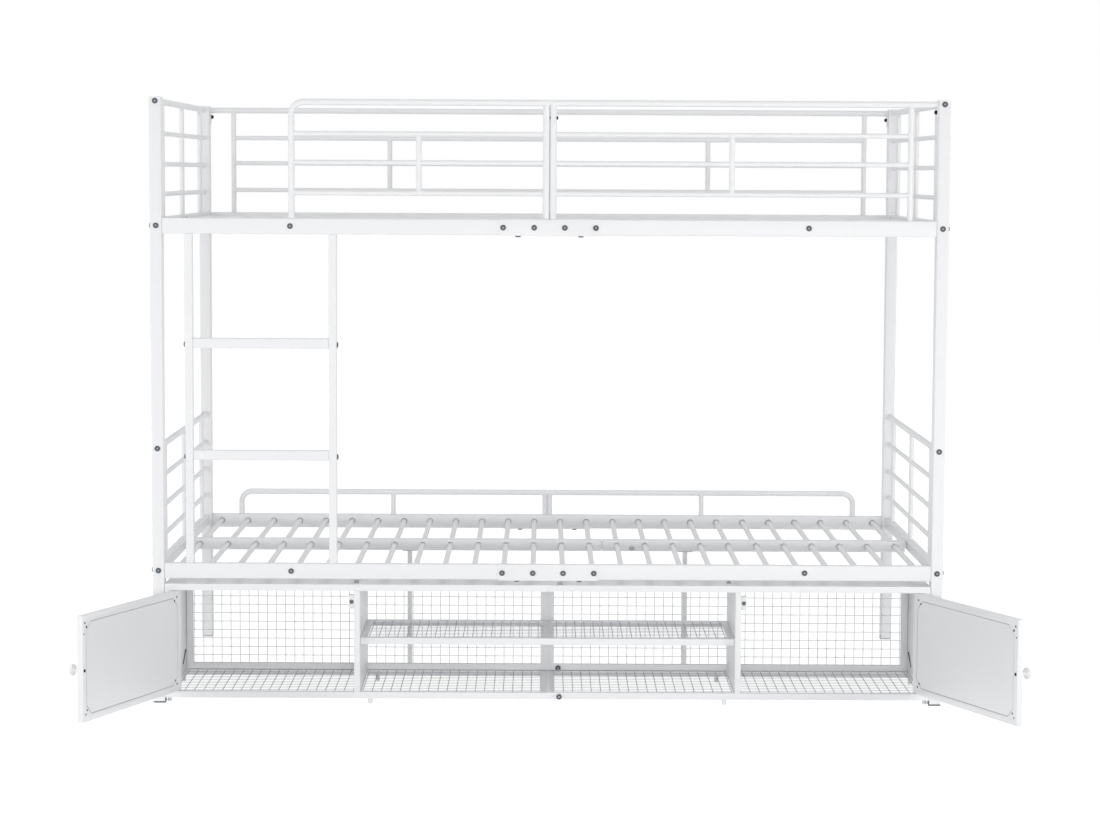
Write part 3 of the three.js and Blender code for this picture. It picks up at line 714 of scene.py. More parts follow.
def cut(target: Surface, cutter: Surface) -> Surface:
    """Cuts one closed surface out of another with Blender's exact boolean.

    Args:
        target: What is cut.
        cutter: What is taken away.

    Returns:
        The cut surface, its faces kept as many-sided ones.
    """
    pair = [add_object(label, to_mesh(label, surface, 1.0, 0.0))
            for label, surface in (("target", target), ("cutter", cutter))]
    tool = pair[0].modifiers.new("cut", "BOOLEAN")
    tool.operation = "DIFFERENCE"
    tool.solver = "EXACT"
    tool.object = pair[1]
    result = pair[0].evaluated_get(bpy.context.evaluated_depsgraph_get()).to_mesh()
    points = np.empty(len(result.vertices) * 3)
    result.vertices.foreach_get("co", points)
    starts = np.empty(len(result.polygons), int)
    corners = np.empty(len(result.loops), int)
    result.polygons.foreach_get("loop_start", starts)
    result.loops.foreach_get("vertex_index", corners)
    faces = np.split(corners, starts[1:])
    for thing in pair:
        mesh = thing.data
        bpy.data.objects.remove(thing)
        bpy.data.meshes.remove(mesh)
    return Surface(points.reshape(-1, 3), np.empty((0, 4), int), faces)


@dataclass
class CornerPosts:
    """Four rectangular tubes with rounded corners, pressed-in tops and plastic plugs to stand on."""

    corner: float = 3.2
    corner_share: float = 0.6
    top_ease: float = 1.2
    cap_inset: float = 1.6
    cap_slope: float = 0.4
    cap_depth: float = 0.5
    flange_height: float = 3.7
    # A thin strip in the plug's grey: painted shade along the foot of the post's inner face.
    shade_strip_width: float = 1.1
    shade_strip_root: float = 1.0
    shade_strip_y: Span = (1.0, 9.0)
    shade_strip_height: float = 13.0
    shade_strip_corner: float = 0.4

    def post(self, node: str) -> Surface:
        """A post with an eased rim and a top that is set in by a fraction of a millimetre.

        Args:
            node: The CAD node that it stands for.

        Returns:
            The post.
        """
        low, high = node_box(node)
        width, depth, top = high[0] - low[0], high[1] - low[1], high[2]
        part = self.top_ease * EASE_SHARE
        insets = (0.0, 0.0, part, self.top_ease, self.cap_inset, self.cap_inset + self.cap_slope)
        levels = (low[2], top - self.top_ease, top - part, top, top, top - self.cap_depth)
        middle = (low[:2] + high[:2]) / 2
        outlines = []
        for inset in insets:
            corner = self.corner - inset * self.corner_share
            outlines.append(rounded_rectangle(width - 2 * inset, depth - 2 * inset, corner) + middle)
        return stacked(outlines, levels)

    def plug(self, node: str) -> Surface:
        """The flange of a plug, as wide as the post, with an eased rim, and a thin strip on its inner side
        that is painted shade: it stands for the shadow along the foot of the post's inner face.

        Args:
            node: The CAD node that it stands for.

        Returns:
            The flange and the strip.
        """
        low, high = node_box(node)
        flange = block((low[0], high[0]), (low[1], high[1]), (0.0, self.flange_height), self.corner)
        inner = min(abs(low[0]), abs(high[0]))
        # The strip is painted shade: a dark sheet where the post's inner face is shaded.
        shade_strip_x = (inner - self.shade_strip_width, inner + self.shade_strip_root)
        shade_strip_y = (low[1] + self.shade_strip_y[0], low[1] + self.shade_strip_y[1])
        shade_strip = block(shade_strip_x, shade_strip_y, (0.0, self.shade_strip_height), self.shade_strip_corner)
        return joined([flange, shade_strip if low[0] > 0 else shade_strip.mirrored(-1)])

    def build(self) -> None:
        """Builds the posts and their plugs."""
        for face in FACES:
            for _, end in ENDS:
                post, plug = f"post_{face}_{end}", f"foot_plug_{face}_{end}"
                add_coated("tube", post, self.post(post))
                # The front plugs take the shaded grey and the rear ones the lit copy: painted shade and
                # painted light on one plastic.
                finish = SHADED_GREY_PLASTIC if face == "front" else LIT_GREY_PLASTIC
                add_piece(f"moulded_{plug}", self.plug(plug), finish, stands_for=(plug,))


@dataclass
class EndPanels:
    """Welded end panels: a rectangular bottom rail, a round top tube, three bars and three uprights."""

    rail_width: float = 20.0
    rail_height: float = 29.0
    rail_corner: float = 2.5
    rise: float = 288.0
    top_tube: float = 16.0
    bar_size: float = 12.0
    bar_bead: float = 1.1
    upright_size: float = 12.7
    upright_reach: float = 375.0
    upright_entry: float = 1.0
    bar_shares: tuple[float, ...] = (0.199, 0.46, 0.726)
    foot_bead_rise: float = 0.3
    head_bead_rise: float = 0.6
    vent_size: float = 4.4
    vent_drop: float = 5.5
    vent_depth: float = 1.0

    def upright(self, x: float, y: float, rail_top: float, top: float, vented: bool) -> list[Surface]:
        """An upright with a bead at its foot and its head.

        Args:
            x: Where it stands along the bed.
            y: Where it stands from front to back.
            rail_top: Top of the rail under it.
            top: Middle of the tube over it.
            vented: Whether a vent hole is cut into its front, near its head.

        Returns:
            The upright and its beads.
        """
        foot, head = rail_top - self.upright_entry, top - self.top_tube / 2 + self.upright_entry
        tube = bar("z", circle(self.upright_size, ROD_SIDES), (foot, head), (x, y))
        if vented:
            reach = (y - self.upright_size, y - self.vent_depth)
            tube = cut(tube, bar("y", circle(self.vent_size, SCREW_SIDES), reach, (x, head - self.vent_drop)))
        radius = self.upright_size / 2
        levels = (rail_top + self.foot_bead_rise, head + self.head_bead_rise)
        return [tube] + [bead("z", radius, (x, y, z)) for z in levels]

    def panel(self, node: str) -> Surface:
        """One panel between its two posts.

        Args:
            node: The CAD node that it stands for.

        Returns:
            The welded panel.
        """
        low, high = node_box(node)
        x, along = (low[0] + high[0]) / 2, (low[1], high[1])
        rail_top = low[2] + self.rail_height
        top = rail_top + self.rise
        rail = rounded_rectangle(self.rail_width, self.rail_height, self.rail_corner)
        parts = [bar("y", rail, along, (x, rail_top - self.rail_height / 2))]
        parts.append(bar("y", circle(self.top_tube), along, (x, top)))
        for share in self.bar_shares:
            z = rail_top + share * self.rise
            parts.append(bar("y", circle(self.bar_size, ROD_SIDES), along, (x, z)))
            parts += [bead("y", self.bar_size / 2, (x, y, z), self.bar_bead) for y in along]
        parts += [bead("y", self.top_tube / 2, (x, y, top)) for y in along]
        for place in (-1, 0, 1):
            vented = place >= 0 and "upper" in node
            parts += self.upright(x, place * self.upright_reach, rail_top, top, vented)
        return joined(parts)

    def build(self) -> None:
        """Builds the four panels."""
        for bunk in BUNKS:
            for _, end in ENDS:
                node = f"end_panel_{bunk}_{end}"
                add_coated("welded", node, self.panel(node))


@dataclass
class HalfDecks:
    """Four half decks: side rails and a mid rail with punched holes, and the round slats that enter them."""

    rail_height: float = 39.0
    rail_thickness: float = 20.0
    rail_setback: float = 2.0
    rail_gap: float = 0.15
    corner: float = 3.0
    wall: float = 1.4
    mid_width: float = 30.0
    mid_height: float = 30.0
    mid_drop: float = 4.0
    seam: float = 147.0
    seam_gap: float = 2.4
    lip_grow: float = 1.6
    lip_corner: float = 3.4
    lip_x: Span = (0.3, 3.5)
    tongue_inset: float = 5.0
    tongue_corner: float = 1.6
    tongue_x: Span = (-9.0, 1.0)
    seam_slats: int = 2
    slat_count: int = 13
    slat_pitch: float = 74.6
    slat_size: float = 14.0
    slat_entry: float = 6.0
    hole_size: float = 17.0
    mid_hole_reach: float = 30.0
    half_depth: float = 510.0

    def hollow_rail(self, width: float, height: float, x: Span, middle: Pair) -> Surface:
        """A rectangular tube along X: the outer outline, carried there, and the inner one, carried back.

        Args:
            width: Its width from front to back.
            height: Its height.
            x: Where it starts and ends.
            middle: The Y and Z of its middle.

        Returns:
            The hollow tube.
        """
        outer = rounded_rectangle(width, height, self.corner)
        inner = rounded_rectangle(width - 2 * self.wall, height - 2 * self.wall, self.corner - self.wall)
        places = [(outer, x[0]), (outer, x[1]), (inner, x[1]), (inner, x[0])]
        rings = [np.insert(outline + np.array(middle), 0, at, axis=1) for outline, at in places]
        return loft(np.stack(rings), looped=True)

    def seam_parts(self, z: float) -> list[Surface]:
        """The lip of the right mid rail at the seam, and the tongue that enters the left one.

        Args:
            z: Height of the mid rails' middle.

        Returns:
            The lip and the tongue.
        """
        parts = []
        for grow, corner, (start, end) in (
            (self.lip_grow, self.lip_corner, self.lip_x),
            (-2 * self.tongue_inset, self.tongue_corner, self.tongue_x),
        ):
            profile = rounded_rectangle(self.mid_width + grow, self.mid_height + grow, corner)
            parts.append(bar("x", profile, (self.seam + start, self.seam + end), (0.0, z)))
        return parts

    def deck(self, side: int, node: str) -> Surface:
        """One half deck: its three rails with their holes cut, and its slats.

        Args:
            side: -1 for the left half and 1 for the right half.
            node: The CAD node that it stands for.

        Returns:
            The welded half deck.
        """
        low, high = node_box(node)
        top, reach = high[2], np.abs((low[0], high[0])).max()
        inner = self.half_depth - self.rail_setback - self.rail_thickness
        slat_z = top - self.rail_height / 2
        rail_x, mid_x = (self.rail_gap, reach), (self.seam + self.rail_gap, reach)
        if side < 0:
            rail_x, mid_x = (-reach, -self.rail_gap), (-reach, self.seam - self.seam_gap)
        mid_z = top - self.mid_drop - self.mid_height / 2
        rails = [self.hollow_rail(self.mid_width, self.mid_height, mid_x, (0.0, mid_z))]
        for face in (-1, 1):
            y = face * (inner + self.rail_thickness / 2)
            rails.append(self.hollow_rail(self.rail_thickness, self.rail_height, rail_x, (y, slat_z)))
        own = side * (np.arange(self.slat_count) + 0.5) * self.slat_pitch
        across = (-inner - self.slat_entry, inner + self.slat_entry)
        hole = circle(self.hole_size, HOLE_SIDES)
        drills = [bar("y", hole, across, (x, slat_z)) for x in own]
        if side < 0:
            crossing = (np.arange(self.seam_slats) + 0.5) * self.slat_pitch
            mid_hole = (-self.mid_hole_reach, self.mid_hole_reach)
            drills += [bar("y", hole, mid_hole, (x, slat_z)) for x in crossing]
        parts = [cut(joined(rails), joined(drills))]
        parts += [bar("y", circle(self.slat_size, ROD_SIDES), across, (x, slat_z)) for x in own]
        if side > 0:
            parts += self.seam_parts(mid_z)
        return joined(parts)

    def build(self) -> None:
        """Builds the four half decks."""
        for bunk in BUNKS:
            for side, end in ENDS:
                node = f"deck_{bunk}_{end}"
                add_coated("welded", node, self.deck(side, node))


@dataclass
class SplicePlates:
    """Angle plates over the middle joints of the side rails, each folded under its rail."""

    fold: float = 0.6

    def build(self) -> None:
        """Builds the four plates."""
        for bunk in BUNKS:
            for face in FACES:
                add_rounded(f"splice_plate_{face}_{bunk}", f"folded_splice_{face}_{bunk}", fold=self.fold)


@dataclass
class Guards:
    """Upper guards of bent and welded tube, and the low guard behind the lower bunk.

    A guard stands a clearance above its rail, and its height and its bars are counted from the rail.
    """

    tube: float = 16.0
    rod: float = 12.5
    short_rod: float = 14.0
    bend: float = 30.0
    clearance: float = 0.3
    rise: float = 287.0
    low_rise: float = 64.2
    bar_shares: tuple[float, ...] = (0.22, 0.483, 0.73)
    bead_rise: float = 0.4
    centre: float = 8.55
    centre_tube: float = 16.8
    centre_gap: float = 0.4
    low_centre: float = 7.15
    low_centre_tube: float = 13.9
    end_reach: float = 894.0
    ear_width: float = 20.0
    ear_drop: float = 37.0
    ear_sheet: float = 2.5

    def seat(self, node: str, rise: float) -> Point:
        """Y of a guard, its foot, and the middle of its top tube at the given rise above the rail."""
        low, high = node_box(node)
        return (low[1] + high[1]) / 2, low[2], low[2] - self.clearance + rise

    def bent(self, x: float, end_x: float, y: float, foot: float, top: float) -> Surface:
        """A tube that rises at x, turns inwards through a quarter circle and runs level to end_x.

        The bend's points are its centre plus the radius times the cosine and sine of even angles.

        Args:
            x: Where it rises.
            end_x: Where it ends.
            y: Its place from front to back.
            foot: Height of its foot.
            top: Height of the middle of its level run.

        Returns:
            The bent tube.
        """
        inwards = math.copysign(1.0, end_x - x)
        angle = np.linspace(0, np.pi / 2, BEND_STATIONS)
        curve_x = x + inwards * self.bend * (1 - np.cos(angle))
        curve_z = top - self.bend * (1 - np.sin(angle))
        xs = np.concatenate(((x,), curve_x, (end_x,)))
        zs = np.concatenate(((foot,), curve_z, (top,)))
        path = np.stack((xs, np.full(len(xs), y), zs), axis=-1)
        return swept(circle(self.tube), path, (0.0, 1.0, 0.0))

    def upright(self, x: float, y: float, foot: float, top: float, size: float) -> list[Surface]:
        """An upright of some diameter, with a weld bead under the tube that it meets."""
        under = top - self.tube / 2 + self.bead_rise
        return [bar("z", circle(size), (foot, top), (x, y)), bead("z", size / 2, (x, y, under))]

    def bars(self, x: Span, y: float, rail: float, sizes: Pair) -> list[Surface]:
        """Three level bars between two uprights, and the short upright between the lowest and the highest.

        Args:
            x: Where the uprights stand.
            y: Their place from front to back.
            rail: Top of the rail.
            sizes: Diameters of the two uprights.

        Returns:
            The bars and the short upright, each with a bead at both ends.
        """
        heights = [rail + share * self.rise for share in self.bar_shares]
        parts = []
        for z in heights:
            parts.append(bar("x", circle(self.rod, ROD_SIDES), x, (y, z)))
            parts.append(bead("x", self.rod / 2, (x[0] + sizes[0] / 2, y, z)))
            parts.append(bead("x", self.rod / 2, (x[1] - sizes[1] / 2, y, z)))
        low_z, high_z, middle = heights[0], heights[-1], (x[0] + x[1]) / 2
        parts.append(bar("z", circle(self.short_rod, ROD_SIDES), (low_z, high_z), (middle, y)))
        for z in (low_z + self.rod / 2, high_z - self.rod / 2):
            parts.append(bead("z", self.short_rod / 2, (middle, y, z)))
        return parts

    def ear(self, side: int, x: float, y: float, top: float) -> Surface:
        """The tab under a tube's end that is bolted to a post: a plate with a half-round foot.

        Its outline runs down one edge, round a half circle and up the other edge.

        Args:
            side: -1 for the left post and 1 for the right one.
            x: The post's inner face.
            y: The tube's place from front to back.
            top: Height of the tube's middle.

        Returns:
            The plate.
        """
        angle = np.linspace(0, np.pi, BEND_STATIONS)
        half = self.ear_width / 2
        across = np.concatenate(((half,), half * np.cos(angle), (-half,)))
        height = np.concatenate(((0.0,), -self.ear_drop + half - half * np.sin(angle), (0.0,)))
        outline = np.stack((across + y, height + top), axis=-1)
        return loft(np.stack([np.insert(outline, 0, at, axis=1) for at in (x, x - side * self.ear_sheet)]))

    def to_post(self, side: int, node: str) -> Surface:
        """A guard whose top tube runs from the middle of the bed to a post.

        Args:
            side: -1 for a guard on the left and 1 for one on the right.
            node: The CAD node that it stands for.

        Returns:
            The welded guard.
        """
        y, foot, top = self.seat(node, self.rise)
        post_x = side * np.abs(node_box(node)[:, 0]).max()
        centre_x, end_x = side * self.centre, side * self.end_reach
        low_x, high_x = sorted((centre_x, end_x))
        sizes = (self.tube, self.short_rod) if side > 0 else (self.short_rod, self.tube)
        parts = [bar("x", circle(self.tube), sorted((side * self.centre_gap, post_x)), (y, top))]
        parts += self.upright(centre_x, y, foot, top, self.centre_tube)
        parts += self.upright(end_x, y, foot, top, self.short_rod)
        parts += self.bars((low_x, high_x), y, foot - self.clearance, sizes)
        return joined(parts + [self.ear(side, post_x, y, top)])

    def beside_ladder(self, node: str) -> Surface:
        """The left front guard, whose outer end is bent down beside the way in.

        Args:
            node: The CAD node that it stands for.

        Returns:
            The welded guard.
        """
        y, foot, top = self.seat(node, self.rise)
        outer_x = node_box(node)[0][0] + self.tube / 2
        parts = [self.bent(outer_x, -self.centre_gap, y, foot, top)]
        parts += self.upright(-self.centre, y, foot, top, self.centre_tube)
        parts += self.bars((outer_x, -self.centre), y, foot - self.clearance, (self.tube, self.tube))
        return joined(parts)

    def low_guard(self, side: int, node: str) -> Surface:
        """Half of the low guard: a bent tube with a middle and a centre upright.

        Args:
            side: -1 for the left half and 1 for the right half.
            node: The CAD node that it stands for.

        Returns:
            The welded half.
        """
        y, foot, top = self.seat(node, self.low_rise)
        outer_x = side * (np.abs(node_box(node)[:, 0]).max() - self.tube / 2)
        centre_x = side * self.low_centre
        parts = [self.bent(outer_x, side * self.centre_gap, y, foot, top)]
        parts += self.upright(centre_x, y, foot, top, self.low_centre_tube)
        parts += self.upright((outer_x + centre_x) / 2, y, foot, top, self.short_rod)
        return joined(parts)

    def build(self) -> None:
        """Builds the six guards."""
        add_coated("bent", "guard_front_left", self.beside_ladder("guard_front_left"))
        add_coated("bent", "guard_front_right", self.to_post(1, "guard_front_right"))
        for side, end in ENDS:
            add_coated("bent", f"guard_rear_{end}", self.to_post(side, f"guard_rear_{end}"))
            add_coated("bent", f"low_guard_{end}", self.low_guard(side, f"low_guard_{end}"))


@dataclass
class Ladder:
    """Two rectangular stiles and two rungs between them."""

    corner: float = 2.6

    def build(self) -> None:
        """Builds the stiles and the rungs."""
        for axis, node in (
            ("z", "ladder_stile_outer"), ("z", "ladder_stile_inner"),
            ("x", "ladder_rung_lower"), ("x", "ladder_rung_upper"),
        ):
            add_coated("tube", node, box_bar(axis, node_box(node), self.corner))


@dataclass
class CentreLegs:
    """Two flat-sided legs under the lower mid rail, each with a plate that is bolted to it."""

    width: float = 12.0
    depth: float = 25.0
    corner: float = 2.2
    entry: float = 1.0
    plate_height: float = 2.0
    plate_corner: float = 3.0

    def build(self) -> None:
        """Builds the two legs."""
        profile = rounded_rectangle(self.width, self.depth, self.corner)
        for _, end in ENDS:
            node = f"centre_leg_{end}"
            low, high = node_box(node)
            top = high[2]
            leg = bar("z", profile, (0.0, top - self.entry), (low[:2] + high[:2]) / 2)
            level = (top - self.plate_height, top)
            plate = block((low[0], high[0]), (low[1], high[1]), level, self.plate_corner)
            add_coated("tube", node, joined([leg, plate]))


@dataclass
class Cabinet:
    """The folded sheet pieces of the cabinet and the feet under its bases.

    A shade strip's edge is four points in Y and Z, and a foot's profile is its radii with their heights.
    """

    foot_places: tuple[Pair, ...] = ((952.0, -483.0), (952.0, -217.0), (445.0, -503.0), (445.0, -197.0))
    foot_radii: tuple[float, ...] = (0.0, 3.4, 4.9, 5.4, 5.5, 5.5, 4.8, 0.0)
    foot_heights: tuple[float, ...] = (0.0, 0.0, 0.5, 1.8, 3.4, 12.6, 13.4, 13.4)
    seam: float = 1.3
    strip_inset: float = 0.96
    strip_depth: Span = (2.4, 1.2)
    strip_drop: float = 17.0
    strip_corner: float = 0.3
    gusset_shade_x: Span = (944.6, 946.2)
    gusset_shade_edge: tuple[Pair, ...] = ((-231.0, 88.5), (-221.0, 83.5), (-273.0, 55.0), (-276.0, 56.5))

    def divider_back(self, node: str) -> Surface:
        """The folded strip that closes a hollow divider just inside its open back.

        Args:
            node: The divider's CAD node.

        Returns:
            The strip.
        """
        low, high = node_box(node)
        edge = self.strip_inset
        y = (high[1] - self.strip_depth[0], high[1] - self.strip_depth[1])
        z = (low[2] + edge, high[2] - self.strip_drop + edge)
        return block((low[0] + edge, high[0] - edge), y, z, self.strip_corner)

    def gusset_shade(self) -> Surface:
        """Thin black strips, tapered downwards, on the side panels near the back: painted shade for a dark
        tapered line there.
        """
        right = loft(np.stack([np.insert(np.array(self.gusset_shade_edge), 0, x, axis=1) for x in self.gusset_shade_x]))
        return joined([right, right.mirrored(-1)])

    def feet(self) -> Surface:
        """Round-nosed plastic feet under the corners of the two bases."""
        foot = revolved(self.foot_radii, self.foot_heights, ROD_SIDES)
        return joined([foot.moved(side * x, y) for side, _ in ENDS for x, y in self.foot_places])

    def back_box(self, side: int, node: str) -> Array:
        """The box of a back frame, drawn in a little at its outer edge and its foot, where its joints show.

        Args:
            side: -1 for the left frame and 1 for the right one.
            node: The frame's CAD node.

        Returns:
            Its lowest and highest corner.
        """
        box = node_box(node)
        outer = 0 if side < 0 else 1
        box[outer][0] -= side * self.seam
        box[0][2] += self.seam
        return box

    def build(self) -> None:
        """Builds the sheet pieces and the feet."""
        for side, end in ENDS:
            for part in ("top", "base", "back_frame", "side", "divider"):
                node = f"cabinet_{part}_{end}"
                box = self.back_box(side, node) if part == "back_frame" else None
                add_rounded(node, f"folded_{part}_{end}", box=box)
            add_piece(f"divider_back_{end}", self.divider_back(f"cabinet_divider_{end}"), POWDER_COAT)
        add_rounded("shelf_frame", "folded_shelf_frame")
        # Black strips that paint a shadow line on each side panel.
        add_piece("corner_gusset_shade", self.gusset_shade(), BLACK_STEEL_AND_SHADE)
        add_piece("moulded_feet", self.feet(), WHITE_PLASTIC)


@dataclass
class WireNets:
    """Welded wire nets at the real pitch: one layer of wires lies on the other."""

    wire: float = 2.0
    level_wire: float = 2.1
    cross_wire: float = 1.3
    fused: float = 0.8
    back_pitch: float = 23.86
    first_back_x: float = 924.5
    last_back_x: float = 20.0
    first_back_z: float = 68.0
    pitch_z: float = 22.3
    base_pitch: float = 23.62
    base_shift: float = 17.0
    shelf_pitch: float = 23.69
    pitch_y: float = 22.2
    first_y: float = 12.0
    end_margin: float = 2.0
    side_margin: float = 1.0
    # Wires that paint the shade along a back window's edge.
    shade_border_wire: float = 1.4
    shade_border_sunk: float = 0.3
    window_side: float = 17.5
    window_foot: float = 18.0

    def wires(self, axis: str, size: float, span: Span, first: Array | float,
              second: Array | float) -> list[Surface]:
        """Parallel wires along one axis.

        Args:
            axis: The axis that they run along.
            size: Their diameter.
            span: Where they start and end.
            first: The first of their other two coordinates, for each wire or for all.
            second: The other one.

        Returns:
            The wires.
        """
        section = circle(size, WIRE_SIDES)
        return [bar(axis, section, span, middle) for middle in np.broadcast(first, second)]

    def back(self, side: int, node: str) -> Surface:
        """The net in the cabinet's back: upright wires in front, level wires fused behind them.

        Args:
            side: -1 for the left net and 1 for the right one.
            node: The CAD node that it stands for.

        Returns:
            The net.
        """
        low, high = node_box(node)
        xs = side * np.arange(self.first_back_x, self.last_back_x, -self.back_pitch)
        xs = xs[np.abs(xs) < np.abs((low[0], high[0])).max()]
        zs = np.arange(self.first_back_z, high[2] - self.end_margin, self.pitch_z)
        front, behind = low[1] + self.wire / 2, low[1] + self.wire * (0.5 + self.fused)
        uprights = self.wires("z", self.wire, (low[2], high[2]), xs, front)
        return joined(uprights + self.wires("x", self.wire, (low[0], high[0]), behind, zs))

    def window_shade_edge(self, side: int, node: str) -> Surface:
        """Painted shade at the foot and the outer side of a back frame's window: thin grey wires along the
        window's shadowed edge.

        Args:
            side: -1 for the left frame and 1 for the right one.
            node: The frame's CAD node.

        Returns:
            Two wires that meet in the window's lower outer corner.
        """
        low, high = node_box(node)
        left, right = low[0] + self.window_side, high[0] - self.window_side
        foot, top = low[2] + self.window_foot, high[2] - self.window_side
        y = low[1] + self.shade_border_wire * self.shade_border_sunk
        level = self.wires("x", self.shade_border_wire, (left, right), y, foot)
        return joined(level + self.wires("z", self.shade_border_wire, (foot, top), left if side < 0 else right, y))

    def level(self, node: str, first: float, pitch: float) -> Surface:
        """A net that lies level: wires along Y over wires along X.

        Args:
            node: The CAD node that it stands for.
            first: How far from the bed's middle the first wire along Y stands, on either side.
            pitch: The step to the next one.

        Returns:
            The net.
        """
        low, high = node_box(node)
        half = np.arange(first, np.abs((low[0], high[0])).max(), pitch)
        xs = np.concatenate((-half[::-1], half[half > 0]))
        xs = xs[(xs > low[0] + self.side_margin) & (xs < high[0] - self.side_margin)]
        ys = np.arange(low[1] + self.first_y, high[1] - self.end_margin, self.pitch_y)
        size, thin = self.level_wire, self.cross_wire
        over, under = high[2] - size / 2, high[2] - size * self.fused - thin / 2
        lengthways = self.wires("y", size, (low[1], high[1]), xs, over)
        return joined(lengthways + self.wires("x", thin, (low[0], high[0]), ys, under))

    def build(self) -> None:
        """Builds the five nets and the painted shade at the edges of the two windows."""
        levels = {"mesh_shelf": self.level("mesh_shelf", 0.0, self.shelf_pitch)}
        for side, end in ENDS:
            node = f"mesh_back_{end}"
            add_piece(f"wire_{node}", self.back(side, node), WIRE_COAT, stands_for=(node,))
            # Grey wires at the window's edge: painted shade.
            add_piece(f"edge_{node}", self.window_shade_edge(side, f"cabinet_back_frame_{end}"), SHADED_WIRE_COAT)
            levels[f"mesh_base_{end}"] = self.level(f"mesh_base_{end}", self.base_shift, self.base_pitch)
        for node, surface in levels.items():
            add_piece(f"wire_{node}", surface, SHADED_WIRE_COAT, stands_for=(node,))


@dataclass
class Doors:
    """Two folded doors with their back panels, knobs, screws, pins, catches and magnets.

    What belongs to a door is drawn on a closed left door whose pivot stands at the origin, and is then hung.
    Each step of the panel and of the grey plate in its groove, which is painted shade, is how far a ring is
    set in from the recess and how deep it lies.
    Screws and holes are places in X and Z on the back, a hole with its diameter too. A turned part has its
    radii, or shares of its radius, with their heights over the face that it stands on.
    """

    pivot: Pair = (932.0, -502.5)
    angles: Pair = (112.8, 114.6)
    back: float = 7.5
    panel_x: Span = (5.0, 429.5)
    panel_z: Span = (46.6, 269.2)
    panel_cut: float = 22.0
    panel_steps: tuple[Pair, ...] = ((2.0, 1.5), (2.0, 0.5), (2.35, 0.2))
    groove_shade_steps: tuple[Pair, ...] = ((0.1, 1.6), (0.1, 0.95), (0.3, 0.85))
    knob_along: float = 437.8
    knob_z: float = 154.1
    knob_sides: int = 32
    knob_sharp: float = 50.0
    knob_radii: tuple[float, ...] = (
        0.0, 5.0, 4.6, 4.5, 4.5, 5.2, 8.0, 11.5, 13.6, 14.25, 14.2, 13.2, 11.0, 8.0, 4.0, 0.0,
    )
    knob_heights: tuple[float, ...] = (
        0.3, 0.3, 1.0, 3.0, 7.5, 9.2, 11.4, 13.2, 14.6, 16.0, 17.6, 19.8, 21.8, 23.3, 24.2, 24.4,
    )
    knob_screw_radii: tuple[float, ...] = (0.0, 4.1, 4.1, 3.2, 0.9, 0.0)
    knob_screw_heights: tuple[float, ...] = (-0.5, -0.5, 0.3, 1.4, 1.6, 0.9)
    screws: tuple[Pair, ...] = (
        (9.8, 269.4), (10.8, 49.7), (20.3, 260.9), (18.6, 58.9), (434.5, 267.8), (427.0, 58.0),
    )
    screw_radii: tuple[float, ...] = (0.0, 2.8, 2.8, 2.3, 0.9, 0.0)
    screw_heights: tuple[float, ...] = (-0.5, -0.5, 0.1, 0.38, 0.4, 0.15)
    holes: tuple[Point, ...] = ((427.5, 257.3, 6.4), (438.5, 241.8, 4.2), (433.5, 48.5, 4.6))
    hole_shade_shares: tuple[float, ...] = (0.0, 1.0, 1.0, 0.8, 0.0)
    hole_shade_heights: tuple[float, ...] = (-0.5, -0.5, 0.1, 0.3, 0.3)
    pin_fold: float = 0.3
    catch_fold: float = 0.8
    magnet_fold: float = 0.25

    def hung(self, side: int, surface: Surface) -> Surface:
        """Hangs what is drawn on a closed left door on one of the open doors.

        Args:
            side: -1 for the left door and 1 for the right one.
            surface: What is hung.

        Returns:
            The surface at its place on the open door.
        """
        angle = self.angles[0] if side < 0 else self.angles[1]
        x, y = self.pivot
        return surface.mirrored(-side).turned(side * angle).moved(side * x, y)

    def octagon(self, steps: tuple[Pair, ...]) -> Surface:
        """A plate with the outline of the recess in the back.

        Args:
            steps: For each ring, how far it is set in from the recess and how deep it lies under the back.

        Returns:
            The plate, its rings skinned one after another.
        """
        rings = []
        for gap, depth in steps:
            y = self.back - depth
            low_x, high_x = self.panel_x[0] + gap, self.panel_x[1] - gap
            low_z, high_z = self.panel_z[0] + gap, self.panel_z[1] - gap
            # A gap that is even all round takes gap * (2 - root of 2) off each leg of a corner's cut.
            leg = self.panel_cut - gap * (2 - math.sqrt(2))
            corners = (
                (low_x + leg, low_z), (high_x - leg, low_z), (high_x, low_z + leg), (high_x, high_z - leg),
                (high_x - leg, high_z), (low_x + leg, high_z), (low_x, high_z - leg), (low_x, low_z + leg),
            )
            rings.append([(x, y, z) for x, z in corners])
        return loft(np.array(rings))

    def knob(self) -> Surface:
        """The turned knob: a neck that swells into a domed head."""
        knob = revolved(self.knob_radii, self.knob_heights, self.knob_sides)
        return knob.facing(Facing.FRONT).moved(self.knob_along, -self.back, self.knob_z)

    def small_screws(self) -> Surface:
        """Flat screw heads on the back, darkened as painted shade for the dark dots there."""
        head = revolved(self.screw_radii, self.screw_heights, SCREW_SIDES)
        return placed(head, [(Facing.REAR, x, self.back, z) for x, z in self.screws])

    def hole_shade_marks(self) -> Surface:
        """Painted shade on a door's back: black where its open holes and the knob's screw hole are shaded.

        Returns:
            Black plugs in the open holes and a black screw in the knob's hole, standing for their shade.
        """
        screw = revolved(self.knob_screw_radii, self.knob_screw_heights, HOLE_SIDES)
        marks = [placed(screw, [(Facing.REAR, self.knob_along, self.back, self.knob_z)])]
        for x, z, size in self.holes:
            plug = revolved([size / 2 * share for share in self.hole_shade_shares], self.hole_shade_heights, SCREW_SIDES)
            marks.append(placed(plug, [(Facing.REAR, x, self.back, z)]))
        return joined(marks)

